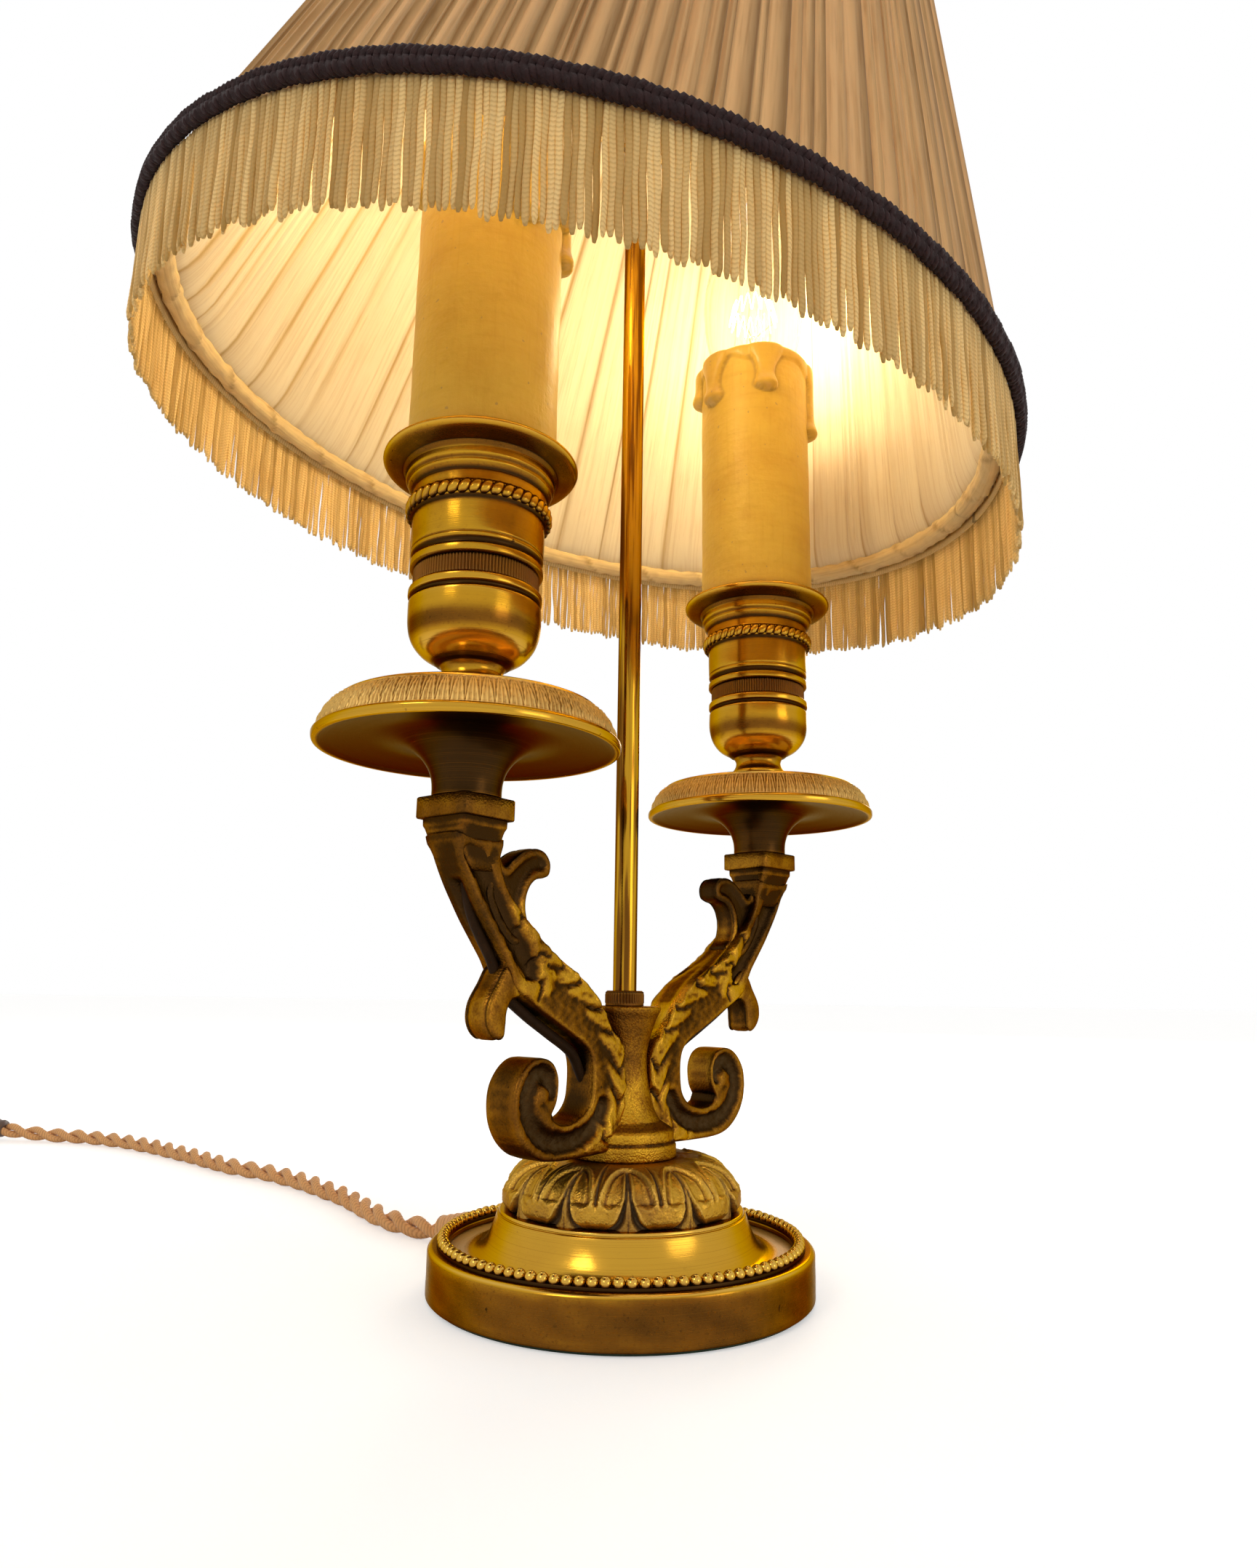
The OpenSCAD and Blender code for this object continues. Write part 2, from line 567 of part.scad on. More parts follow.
module candle(drips) {
    rim = 1.5;
    difference() {
        union() {
            ring(candle_r - candle_wall, candle_r, candle_z, candle_top - rim);
            translate([0, 0, candle_top - rim]) rotate_extrude()
                translate([candle_r - candle_wall / 2, 0]) circle(r = rim, $fn = 24);
            for (d = drips)
                rotate([0, 0, d[0]]) translate([candle_r - 0.5, 0, candle_top - rim]) {
                    translate([0, 0, -d[1]]) cylinder(h = d[1], r = drip_r - 0.3, $fn = 24);
                    translate([0, 0, -d[1]]) sphere(r = drip_r, $fn = 24);
                }
        }
        translate([0, 0, candle_z - over]) cylinder(h = candle_h + 2 * over, r = candle_r - candle_wall);
    }
}
module candle_left() { color([0.93, 0.83, 0.55]) at_left() candle(DRIPS_LEFT); }
module candle_right() { color([0.93, 0.83, 0.55]) at_right() candle(DRIPS_RIGHT); }

shell_in = cap_r + 0.3;
shell_out = shell_in + 1;
insulator_top = cap_z - 1.4;
insulator_h = 5;
stem_top = insulator_top - insulator_h;
contact_y = 6.8;
contact_r = 1.5;

module holder_stems() {
    color([0.6, 0.52, 0.34]) at_both() ring(nipple_r - 1.6, nipple_r, nipple_top, stem_top);
}
module holder_shells() {
    color([0.75, 0.6, 0.32]) at_both() difference() {
        ring(shell_in, shell_out, stem_top + 1, candle_top - 3.6);
        for (side = [0, 180])
            rotate([0, 0, side]) {
                rotate([0, 0, -bayonet_turn])
                    translate([shell_in + 0.5, 0, (pin_z + candle_top) / 2])
                        cube([4, bayonet_r * 2 + 0.6, candle_top - pin_z + 2 * bayonet_r + 0.6], center = true);
                for (k = [0:6])
                    rotate([0, 0, -bayonet_turn * k / 6])
                        translate([shell_in - 1.5, 0, pin_z]) rotate([0, 90, 0])
                            cylinder(h = 4, r = bayonet_r + 0.35, $fn = 24);
            }
    }
}
module holder_insulators() {
    color([0.9, 0.88, 0.82]) at_both() difference() {
        union() {
            ring(nipple_r - 1.6, shell_out, stem_top, stem_top + 1);
            ring(nipple_r - 1.6, shell_in - 0.1, stem_top, insulator_top);
        }
        for (side = [-1, 1])
            translate([0, side * contact_y, stem_top - over])
                cylinder(h = insulator_h + 2 * over, r = contact_r + seat_gap / 2, $fn = 24);
    }
}
module holder_contacts() {
    color([0.8, 0.68, 0.4]) at_both() for (side = [-1, 1])
        translate([0, side * contact_y, stem_top - 2]) cylinder(h = insulator_h + 2.9, r = contact_r, $fn = 24);
}

module bulb_glass() {
    z = cap_top;
    outside = [[cap_r - 1.1, z - 5], [cap_r - 1.1, z + 0.6], [cap_r + 0.6, z + 4], [bulb_r - 3, z + 11],
        [bulb_r - 1, z + 19], [bulb_r, z + 29], [bulb_r - 0.3, z + 37], [bulb_r * 0.88, z + 46],
        [bulb_r * 0.68, z + 56], [bulb_r * 0.42, z + 65.5], [bulb_r * 0.2, z + bulb_h - 6], [1.3, z + bulb_h - 1.6],
        [0.9, z + bulb_h - 0.4], [0, z + bulb_h]];
    inside = [for (p = reversed(outside)) [max(p[0] - glass_t, 0), min(p[1], z + bulb_h - 5)]];
    turned(concat(outside, [[0, z + bulb_h - 5]], [for (k = [3:len(inside) - 1]) inside[k]]));
}
module bulb_cap() {
    z = cap_z;
    ring(cap_r - 0.9, cap_r, z, cap_top);
    translate([0, 0, z]) cylinder(h = 2.4, r = cap_r - 0.5);
    for (side = [-1, 1]) {
        translate([0, side * contact_y, z - 0.4]) cylinder(h = 1, r = contact_r + 0.3, $fn = 24);
        rotate([0, 90, 0]) translate([-pin_z, 0, side > 0 ? cap_r - 0.7 : -cap_r - 1.7])
            cylinder(h = 2.4, r = bayonet_r, $fn = 24);
    }
}
module bulb_mount() {
    z = cap_top;
    wire = 0.5;
    root = [1.4, 16];
    coil_at = [8.4, 30];
    span = coil_at - root;
    ring(0, cap_r - 1.1 - glass_t - 0.1, z - 5, z - 3.6);
    translate([0, 0, z - 5]) cylinder(h = 23, r = 2.6, $fn = 24);
    for (side = [-1, 1])
        translate([0, side * root[0], z + root[1]]) rotate([-side * atan2(span[0], span[1]), 0, 0])
            cylinder(h = norm(span), r = wire, $fn = 16);
    translate([0, 0, z + coil_at[1]]) rotate_extrude() translate([coil_at[0], 0]) circle(r = wire, $fn = 16);
}
module bulb_glass_left() { color([0.95, 0.95, 0.9, 0.4]) at_left() bulb_glass(); }
module bulb_glass_right() { color([0.95, 0.95, 0.9, 0.4]) at_right() bulb_glass(); }
module bulb_cap_left() { color([0.8, 0.78, 0.7]) at_left() bulb_cap(); }
module bulb_cap_right() { color([0.8, 0.78, 0.7]) at_right() bulb_cap(); }
module bulb_mount_left() { color([0.8, 0.8, 0.75]) at_left() bulb_mount(); }
module bulb_mount_right() { color([0.8, 0.8, 0.75]) at_right() bulb_mount(); }

// Shade carrier

collar_r = rod_r + 3.8;
carrier_h = 10;
carrier_z = knuckle_z - 11 - carrier_h;
bracket_r = rod_r + 2.7;
bracket_z = carrier_z + carrier_h + 0.3;
screw_turn = 252;
screw_z = carrier_z + carrier_h / 2;
screw_r = 2;
pivot_r = 1.5;
tongue_r = knuckle_off - bracket_r - 0.1;
tongue_w = 4.6;
ear_t = 2;

module along_screw() { rotate([0, 0, screw_turn]) translate([0, 0, screw_z]) rotate([0, 90, 0]) children(); }

module shade_collar() {
    color([0.8, 0.62, 0.28]) difference() {
        union() {
            translate([0, 0, carrier_z]) cylinder(h = carrier_h, r = collar_r);
            along_screw() cylinder(h = collar_r + 3, r = screw_r + 1.8);
        }
        translate([0, 0, carrier_z - over]) cylinder(h = carrier_h + 2 * over, r = rod_r + run_gap);
        along_screw() cylinder(h = collar_r + 5, r = screw_r + run_gap);
    }
}
module thumbscrew() {
    head = 5;
    notches = 16;
    from = rod_r + run_gap + 0.15;
    out = collar_r + 3.3;
    color([0.85, 0.66, 0.3]) along_screw() difference() {
        union() {
            translate([0, 0, from]) cylinder(h = out - from + 1, r = screw_r);
            translate([0, 0, out]) cylinder(h = 4, r = head);
        }
        for (k = [0:notches - 1])
            rotate([0, 0, 360 * k / notches]) translate([head + 0.2, 0, out + 2]) cube([1, 0.7, 5], center = true);
    }
}
module at_knuckle() { rotate([0, 0, lean_turn]) translate([knuckle_off, 0, knuckle_z]) children(); }

module tilt_bracket() {
    low = bracket_z - knuckle_z;
    ear_r = tongue_r + 0.4;
    color([0.78, 0.6, 0.27]) difference() {
        union() {
            translate([0, 0, bracket_z]) cylinder(h = -low - tongue_r + 1, r = bracket_r);
            at_knuckle() for (side = [-1, 1]) {
                translate([-knuckle_off, side * (tongue_w / 2 + 0.25 + ear_t / 2) - ear_t / 2, low])
                    cube([knuckle_off + ear_r, ear_t, -low]);
                translate([0, side * (tongue_w / 2 + 0.25 + ear_t / 2), 0]) rotate([90, 0, 0])
                    cylinder(h = ear_t, r = ear_r, center = true);
            }
            at_knuckle() translate([-knuckle_off, -tongue_w / 2 - 1, low])
                cube([knuckle_off + ear_r, tongue_w + 2, -low - tongue_r - 1.2]);
        }
        translate([0, 0, bracket_z - over]) cylinder(h = 20, r = rod_r + run_gap);
        at_knuckle() rotate([90, 0, 0]) cylinder(h = 20, r = pivot_r + run_gap / 2, center = true);
    }
}
module tilt_pin() {
    half = tongue_w / 2 + 0.25 + ear_t;
    color([0.6, 0.5, 0.3]) at_knuckle() rotate([90, 0, 0]) {
        cylinder(h = 2 * half, r = pivot_r, center = true);
        for (side = [-1, 1])
            translate([0, 0, side * (half + 0.6)]) cylinder(h = 1.2, r = pivot_r + 0.8, center = true);
    }
}

// The shade leans about the knuckle. Its own heights count from the bottom ring along its axis.
module shade_place() {
    at_knuckle() rotate([0, lean, 0]) rotate([0, 0, -lean_turn]) translate([0, 0, -ring_drop]) children();
}

module shade_spider() {
    hub_r = 4.6;
    hub_z = ring_drop + tongue_r + 1.2;
    reach = shade_top_r;
    rise = shade_h - hub_z - 2;
    color([0.7, 0.6, 0.4]) shade_place() difference() {
        union() {
            rotate([0, 0, lean_turn]) translate([0, 0, ring_drop]) {
                rotate([90, 0, 0]) cylinder(h = tongue_w, r = tongue_r, center = true);
                translate([-tongue_r, -tongue_w / 2, 0]) cube([tongue_r * 2, tongue_w, tongue_r + 3]);
            }
            translate([0, 0, hub_z]) cylinder(h = 4, r = hub_r);
            for (k = [0:2])
                rotate([0, 0, lean_turn + 120 * k]) translate([0, 0, hub_z + 2])
                    rotate([0, atan2(reach, rise), 0])
                        cylinder(h = norm([reach, rise]) - ring_wire * 0.5, r = 1.4, $fn = 24);
        }
        rotate([0, 0, lean_turn]) translate([0, 0, ring_drop]) rotate([90, 0, 0])
            cylinder(h = 20, r = pivot_r + run_gap, center = true);
    }
}

rib_count = 6;
module shade_wire_frame() {
    fall = shade_r - shade_top_r;
    color([0.6, 0.6, 0.58]) shade_place() {
        rotate_extrude() translate([shade_r, 0]) circle(r = ring_wire, $fn = 24);
        translate([0, 0, shade_h]) rotate_extrude() translate([shade_top_r, 0]) circle(r = ring_wire, $fn = 24);
        for (k = [0:rib_count - 1])
            rotate([0, 0, lean_turn + 60 * k + 30]) translate([shade_r, 0, 0])
                rotate([0, -atan2(fall, shade_h), 0]) cylinder(h = norm([fall, shade_h]), r = 1.1, $fn = 24);
    }
}
module ring_bindings() {
    gap = 0.05;
    color([0.9, 0.82, 0.62]) shade_place() difference() {
        union() {
            rotate_extrude() translate([shade_r, 0]) circle(r = binding_r, $fn = 24);
            translate([0, 0, shade_h]) rotate_extrude() translate([shade_top_r, 0]) circle(r = binding_r, $fn = 24);
        }
        rotate_extrude() translate([shade_r, 0]) circle(r = ring_wire + gap, $fn = 24);
        translate([0, 0, shade_h]) rotate_extrude() translate([shade_top_r, 0]) circle(r = ring_wire + gap, $fn = 24);
    }
}

// A ring of knife pleats between an inner radius and the cloth's thickness outside it
function pleats(count, inner) =
    [for (k = [0:2 * count - 1]) let (a = 180 * k / count, r = inner + (k % 2) * pleat_depth) [r * cos(a), r * sin(a)]];
module pleated(count, inner, height, share) {
    linear_extrude(height = height, scale = share) difference() {
        polygon(pleats(count, inner + cloth_t));
        polygon(pleats(count, inner));
    }
}
module shade_cover() {
    color([0.9, 0.8, 0.58]) shade_place() translate([0, 0, braid_low])
        pleated(cover_pleats, cover_in, cover_len, cover_share);
}
module shade_lining() {
    inner = lining_out - pleat_depth - cloth_t;
    color([0.96, 0.9, 0.72]) shade_place() pleated(lining_pleats, inner, lining_top, lining_top_out / lining_out);
}

module braid_bottom() {
    mid = trim_in + braid_t / 2;
    color([0.16, 0.08, 0.06]) shade_place() turned(concat(
        [[trim_in, braid_low], [mid, braid_low]],
        arc(mid, braid_low + braid_h / 2, braid_h / 2, -60, 60, 6),
        [[mid, braid_low + braid_h], [trim_in, braid_low + braid_h]]));
}
module braid_top() {
    low = shade_h - braid_h * 0.8;
    inner = cover_at(low) + seat_gap / 2;
    color([0.16, 0.08, 0.06]) shade_place() ring(inner, inner + braid_t * 0.6, low, shade_h);
}
// The strands hang straight down from a band behind the foot of the braid
module shade_fringe() {
    band = 3;
    band_t = 0.8;
    middle = trim_in + band_t / 2;
    drop = fringe_h + braid_low - band / 2;
    color([0.86, 0.72, 0.46]) {
        shade_place() ring(trim_in, trim_in + band_t, braid_low - band, braid_low);
        for (k = [0:fringe_count - 1]) {
            a = 360 * k / fringe_count;
            top = fringe_point(middle * [cos(a), sin(a), 0] + [0, 0, braid_low - band / 2]);
            translate([top[0], top[1], top[2] - drop])
                rotate([0, 0, a]) cylinder(h = drop, r = strand_r, $fn = 3);
        }
    }
}
// A point of the leaning shade, in the lamp's own frame
function turn_z(p, a) = [p[0] * cos(a) - p[1] * sin(a), p[0] * sin(a) + p[1] * cos(a), p[2]];
function lean_y(p, a) = [p[0] * cos(a) + p[2] * sin(a), p[1], -p[0] * sin(a) + p[2] * cos(a)];
function fringe_point(p) = turn_z(
    lean_y(turn_z(p - [0, 0, ring_drop], -lean_turn), lean) + [knuckle_off, 0, knuckle_z], lean_turn);

// Cord, switch and plug

lie = cord_d / 2 + 0.1;
gland_reach = base_r + gland_out;
function from_gland(r) = [r * cos(gland_turn), r * sin(gland_turn), gland_z];
switch_x = -300;
switch_y = 247;
switch_mid = switch_h / 2;
// Route of the cord from the drum to the switch, chosen by hand
LEAD = [from_gland(gland_reach), from_gland(gland_reach + cord_d), [-47, 46, 4.6], [-54, 51, lie], [-62, 57, lie],
    [-73, 70, lie], [-81, 84, lie], [-89, 98, lie], [-103, 117, lie], [-117, 134, lie], [-132, 148, lie],
    [-148, 160, lie], [-165, 178, lie], [-182, 195, lie], [-199, 211, lie], [-217, 225, lie], [-236, 236, lie],
    [-256, 243, lie], [-274, 246, 4.4], [switch_x + cord_d, switch_y, switch_mid], [switch_x, switch_y, switch_mid]];
coil_x = -396;
coil_y = switch_y - coil_r;
LINK = [[switch_x - switch_l, switch_y, switch_mid], [switch_x - switch_l - cord_d, switch_y, switch_mid],
    [-374, 247, 4.4], [coil_x + 2 * cord_d, switch_y, lie], [coil_x + cord_d, switch_y, lie]];
pitch = cord_d + 1;
layer = cord_d + 0.7;
plug_x = -470;
plug_y = 184;
plug_mid = plug_h / 2;
TAIL = [[coil_x - cord_d, switch_y, lie + layer], [coil_x - 2 * cord_d, switch_y, lie + layer], [-422, 246, 8.6],
    [-438, 242, 5.2], [-452, 235, lie], [-463, 224, lie], [-469, 210, 4.4], [plug_x, 198, 6],
    [plug_x, plug_y + cord_d, plug_mid], [plug_x, plug_y, plug_mid]];

// The coil winds in on the table and out again on the layer above
turns = 2 * coil_loops;
function climb(t) = t < 0 ? 0 : t > 1 ? 1 : (1 - cos(180 * t)) / 2;
function coil_point(u) = let (r = coil_r - pitch * (u < coil_loops ? u : turns - u), a = 90 + 360 * u)
    [coil_x + r * cos(a), coil_y + r * sin(a), lie + layer * climb((u - coil_loops + 0.25) * 2)];
coil_path = concat([[coil_x + cord_d, switch_y, lie]], [for (k = [0:24 * turns]) coil_point(k / 24)],
    [[coil_x - cord_d, switch_y, lie + layer]]);
// The least gap between two points of the coil that are over half a loop apart
coil_gap = min([for (i = [0:len(coil_path) - 14]) for (j = [i + 13:len(coil_path) - 1])
    norm(coil_path[i] - coil_path[j])]) - cord_d;
lead_path = smooth(LEAD, 2);
link_path = smooth(LINK, 1);
tail_path = smooth(TAIL, 2);
cord_paths = [lead_path, link_path, coil_path, tail_path];
echo(coil_gap = coil_gap, cord_lengths = [for (path = cord_paths) along(path)], switch_l = switch_l);

module cord_lead() { color([0.72, 0.5, 0.26]) swept(lead_path, cord_d / 2, 8); }
module cord_link() { color([0.72, 0.5, 0.26]) swept(link_path, cord_d / 2, 8); }
module cord_coil() { color([0.72, 0.5, 0.26]) swept(coil_path, cord_d / 2, 6); }
module cord_tail() { color([0.72, 0.5, 0.26]) swept(tail_path, cord_d / 2, 8); }

module at_switch() { translate([switch_x - switch_l / 2, switch_y, 0]) children(); }
rocker_l = 16;
rocker_w = 9;
rocker_z = switch_h - 3;
axle_r = 1.2;

module switch_case() {
    end = switch_w / 2;
    color([0.85, 0.78, 0.62]) at_switch() difference() {
        linear_extrude(height = switch_h) {
            square([switch_l - switch_w, switch_w], center = true);
            for (side = [-1, 1])
                translate([side * (switch_l - switch_w) / 2, 0]) intersection() {
                    circle(r = end);
                    translate([side * end / 2, 0]) square([end, switch_w], center = true);
                }
        }
        translate([0, 0, switch_h]) cube([rocker_l + 0.8, rocker_w + 0.6, 20], center = true);
        translate([0, 0, rocker_z]) rotate([90, 0, 0])
            cylinder(h = rocker_w + 5, r = axle_r + run_gap, center = true, $fn = 24);
    }
}
module switch_rocker() {
    tip = 8;
    color([0.3, 0.2, 0.14]) at_switch() translate([0, 0, rocker_z]) rotate([0, tip, 0]) {
        intersection() {
            translate([0, 0, -11]) rotate([90, 0, 0]) cylinder(h = rocker_w, r = 15.4, center = true);
            translate([0, 0, 1.2]) cube([rocker_l - 0.6, rocker_w, 8], center = true);
        }
        rotate([90, 0, 0]) cylinder(h = rocker_w + 4, r = axle_r, center = true, $fn = 24);
    }
}

// The plug's own length runs from the cord towards its pins
module at_plug() { translate([plug_x, plug_y, plug_mid]) rotate([0, 0, 90]) children(); }
module plug_body() {
    neck_l = 12;
    neck_w = 16;
    color([0.85, 0.78, 0.62]) at_plug() {
        translate([-neck_l / 2, 0, 0]) cube([neck_l, neck_w, plug_h - 2], center = true);
        translate([-(plug_l + neck_l) / 2, 0, 0]) {
            cube([plug_l - neck_l, plug_w - plug_h, plug_h], center = true);
            for (side = [-1, 1])
                translate([0, side * (plug_w - plug_h) / 2, 0]) rotate([0, 90, 0])
                    cylinder(h = plug_l - neck_l, r = plug_h / 2, center = true);
        }
    }
}
module plug_pins() {
    color([0.8, 0.76, 0.6]) at_plug() for (side = [-1, 1])
        translate([-plug_l - plug_pin_l, side * plug_pin_gap / 2, 0])
            rotate([0, 90, 0]) cylinder(h = plug_pin_l, r = plug_pin_r);
}

felt_pad();
bottom_cover();
ballast_ring();
base_drum();
base_plate();
bead_moulding();
leaf_dome();
column();
tie_bolt();
tie_nut();
tie_washer();
rod_nut();
shade_rod();
cord_gland();
arm_left();
arm_right();
arm_wire_left();
arm_wire_right();
drip_pan_left();
drip_pan_right();
nipples();
nipple_nuts();
cup_bowl_left();
cup_bowl_right();
knurled_rings();
cup_collar_left();
cup_collar_right();
candle_left();
candle_right();
holder_stems();
holder_shells();
holder_insulators();
holder_contacts();
bulb_glass_left();
bulb_glass_right();
bulb_cap_left();
bulb_cap_right();
bulb_mount_left();
bulb_mount_right();
shade_collar();
thumbscrew();
tilt_bracket();
tilt_pin();
shade_spider();
shade_wire_frame();
ring_bindings();
shade_cover();
shade_lining();
braid_bottom();
braid_top();
shade_fringe();
finial();
cord_lead();
cord_link();
cord_coil();
cord_tail();
switch_case();
switch_rocker();
plug_body();
plug_pins();
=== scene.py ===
"""Bedside lamp: gilt candle arms on a turned base, pleated shade with a fringe, twisted cord."""

import sys
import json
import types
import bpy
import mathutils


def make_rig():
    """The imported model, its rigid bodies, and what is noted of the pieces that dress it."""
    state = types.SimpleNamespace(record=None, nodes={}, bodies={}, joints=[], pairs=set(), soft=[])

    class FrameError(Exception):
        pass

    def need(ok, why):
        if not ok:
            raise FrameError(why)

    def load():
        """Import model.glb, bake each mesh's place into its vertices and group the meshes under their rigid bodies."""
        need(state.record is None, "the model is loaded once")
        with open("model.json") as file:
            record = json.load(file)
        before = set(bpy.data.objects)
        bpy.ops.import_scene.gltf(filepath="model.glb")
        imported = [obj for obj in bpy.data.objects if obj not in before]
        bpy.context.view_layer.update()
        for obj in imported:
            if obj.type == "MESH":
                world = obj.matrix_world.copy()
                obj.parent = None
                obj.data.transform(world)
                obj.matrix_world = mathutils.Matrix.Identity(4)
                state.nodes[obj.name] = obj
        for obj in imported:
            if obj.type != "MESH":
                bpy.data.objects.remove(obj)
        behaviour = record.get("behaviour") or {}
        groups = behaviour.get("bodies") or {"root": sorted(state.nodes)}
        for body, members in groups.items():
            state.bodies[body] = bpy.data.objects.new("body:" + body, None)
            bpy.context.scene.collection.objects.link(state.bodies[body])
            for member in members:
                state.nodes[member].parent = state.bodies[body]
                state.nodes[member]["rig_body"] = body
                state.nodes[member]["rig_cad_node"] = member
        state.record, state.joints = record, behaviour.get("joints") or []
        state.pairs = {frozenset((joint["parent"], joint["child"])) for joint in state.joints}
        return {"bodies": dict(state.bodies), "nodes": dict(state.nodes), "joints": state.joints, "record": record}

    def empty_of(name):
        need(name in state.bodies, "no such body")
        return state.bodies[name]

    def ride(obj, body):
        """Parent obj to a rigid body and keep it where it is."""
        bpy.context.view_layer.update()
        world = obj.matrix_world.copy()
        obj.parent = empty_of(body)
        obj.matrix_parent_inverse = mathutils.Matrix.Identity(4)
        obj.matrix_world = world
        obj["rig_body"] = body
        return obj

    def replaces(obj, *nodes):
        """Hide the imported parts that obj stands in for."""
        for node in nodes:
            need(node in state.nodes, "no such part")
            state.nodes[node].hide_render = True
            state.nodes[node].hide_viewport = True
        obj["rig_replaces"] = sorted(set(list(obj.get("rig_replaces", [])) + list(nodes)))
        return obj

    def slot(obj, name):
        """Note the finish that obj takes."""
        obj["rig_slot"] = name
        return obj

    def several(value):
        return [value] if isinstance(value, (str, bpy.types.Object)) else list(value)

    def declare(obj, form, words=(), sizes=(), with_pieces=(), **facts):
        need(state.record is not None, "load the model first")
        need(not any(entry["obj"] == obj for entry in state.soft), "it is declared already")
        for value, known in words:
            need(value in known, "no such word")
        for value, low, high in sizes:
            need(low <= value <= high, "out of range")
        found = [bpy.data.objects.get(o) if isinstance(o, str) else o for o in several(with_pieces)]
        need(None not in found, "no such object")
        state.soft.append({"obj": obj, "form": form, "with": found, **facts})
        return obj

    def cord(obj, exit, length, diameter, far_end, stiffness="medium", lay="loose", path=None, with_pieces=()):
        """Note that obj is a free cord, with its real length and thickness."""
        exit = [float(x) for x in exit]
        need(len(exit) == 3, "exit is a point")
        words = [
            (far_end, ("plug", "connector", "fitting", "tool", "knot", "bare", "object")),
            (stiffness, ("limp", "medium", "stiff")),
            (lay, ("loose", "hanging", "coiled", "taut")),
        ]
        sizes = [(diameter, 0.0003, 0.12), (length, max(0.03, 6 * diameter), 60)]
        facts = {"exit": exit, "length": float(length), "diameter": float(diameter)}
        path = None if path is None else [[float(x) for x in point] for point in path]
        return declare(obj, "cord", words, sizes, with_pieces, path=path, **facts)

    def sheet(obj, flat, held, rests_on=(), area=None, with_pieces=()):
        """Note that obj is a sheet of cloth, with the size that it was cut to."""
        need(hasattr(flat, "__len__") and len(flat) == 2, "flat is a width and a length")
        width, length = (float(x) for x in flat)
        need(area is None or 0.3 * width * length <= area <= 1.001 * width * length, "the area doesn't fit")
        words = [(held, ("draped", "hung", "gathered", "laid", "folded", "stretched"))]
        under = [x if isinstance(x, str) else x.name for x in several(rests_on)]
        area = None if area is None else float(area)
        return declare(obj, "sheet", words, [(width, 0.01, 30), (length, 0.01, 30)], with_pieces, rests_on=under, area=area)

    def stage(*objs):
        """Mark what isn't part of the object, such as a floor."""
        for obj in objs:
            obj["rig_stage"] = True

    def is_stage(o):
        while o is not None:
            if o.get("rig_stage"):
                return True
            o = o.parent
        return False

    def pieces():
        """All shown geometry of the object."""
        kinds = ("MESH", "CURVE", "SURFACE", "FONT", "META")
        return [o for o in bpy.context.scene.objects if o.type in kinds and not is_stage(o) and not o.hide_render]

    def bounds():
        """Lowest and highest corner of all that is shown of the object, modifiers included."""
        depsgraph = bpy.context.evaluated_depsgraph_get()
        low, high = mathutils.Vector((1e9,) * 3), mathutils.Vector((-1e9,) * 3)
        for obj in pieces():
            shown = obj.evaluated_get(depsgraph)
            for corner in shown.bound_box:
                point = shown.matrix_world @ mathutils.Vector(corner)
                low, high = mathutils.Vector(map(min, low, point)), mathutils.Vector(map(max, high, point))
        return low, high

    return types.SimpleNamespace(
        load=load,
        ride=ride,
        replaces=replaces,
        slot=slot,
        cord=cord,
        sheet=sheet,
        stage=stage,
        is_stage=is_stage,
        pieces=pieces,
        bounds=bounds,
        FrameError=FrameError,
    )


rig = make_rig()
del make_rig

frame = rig.load()

import json
import math
import random

import bpy
import numpy as np
from bpy.props import FloatProperty, FloatVectorProperty, IntProperty, PointerProperty
from mathutils import Matrix, Vector
from mathutils.geometry import delaunay_2d_cdt

bl_info = {
    "name": "Bedside lamp",
    "version": (1, 0, 0),
    "blender": (4, 5, 0),
    "location": "View3D > Sidebar > Lamp",
    "description": "Dresses the frame of a two-light bedside lamp",
    "category": "Object",
}

CAD_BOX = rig.bounds()
MM = 0.001
TAU = 2 * math.pi
RIGHT_TURN, LEFT_TURN, ARM_REACH = 42.5, 229.0, 60.0
DOME_TOP, COLUMN_TOP, BLOCK_TOP = 32.4, 70.0, 116.5
SIDES = {"left": LEFT_TURN, "right": RIGHT_TURN}


# Materials


class Value:
    """A shader socket that takes part in Python expressions."""

    def __init__(self, finish, socket):
        self.finish, self.socket = finish, socket

    def _maths(self, operation, first, second=0.0):
        return self.finish.node("Math", {"operation": operation}, {0: first, 1: second})[0]

    def __add__(self, other):
        return self._maths("ADD", self, other)

    def __sub__(self, other):
        return self._maths("SUBTRACT", self, other)

    def __rsub__(self, other):
        return self._maths("SUBTRACT", other, self)

    def __mul__(self, other):
        return self._maths("MULTIPLY", self, other)

    def __truediv__(self, other):
        return self._maths("DIVIDE", self, other)

    def __pow__(self, other):
        return self._maths("POWER", self, other)

    def __gt__(self, other):
        return self._maths("GREATER_THAN", self, other)

    def __abs__(self):
        return self._maths("ABSOLUTE", self)

    __radd__, __rmul__ = __add__, __mul__

    def sine(self):
        return self._maths("SINE", self)

    def least(self, other):
        return self._maths("MINIMUM", self, other)

    def most(self, other):
        return self._maths("MAXIMUM", self, other)

    def between(self, low, high):
        """0 up to low, 1 from high, and a smooth rise from one to the other."""
        return self.finish.node("MapRange", {"interpolation_type": "SMOOTHSTEP"}, {0: self, 1: low, 2: high})[0]


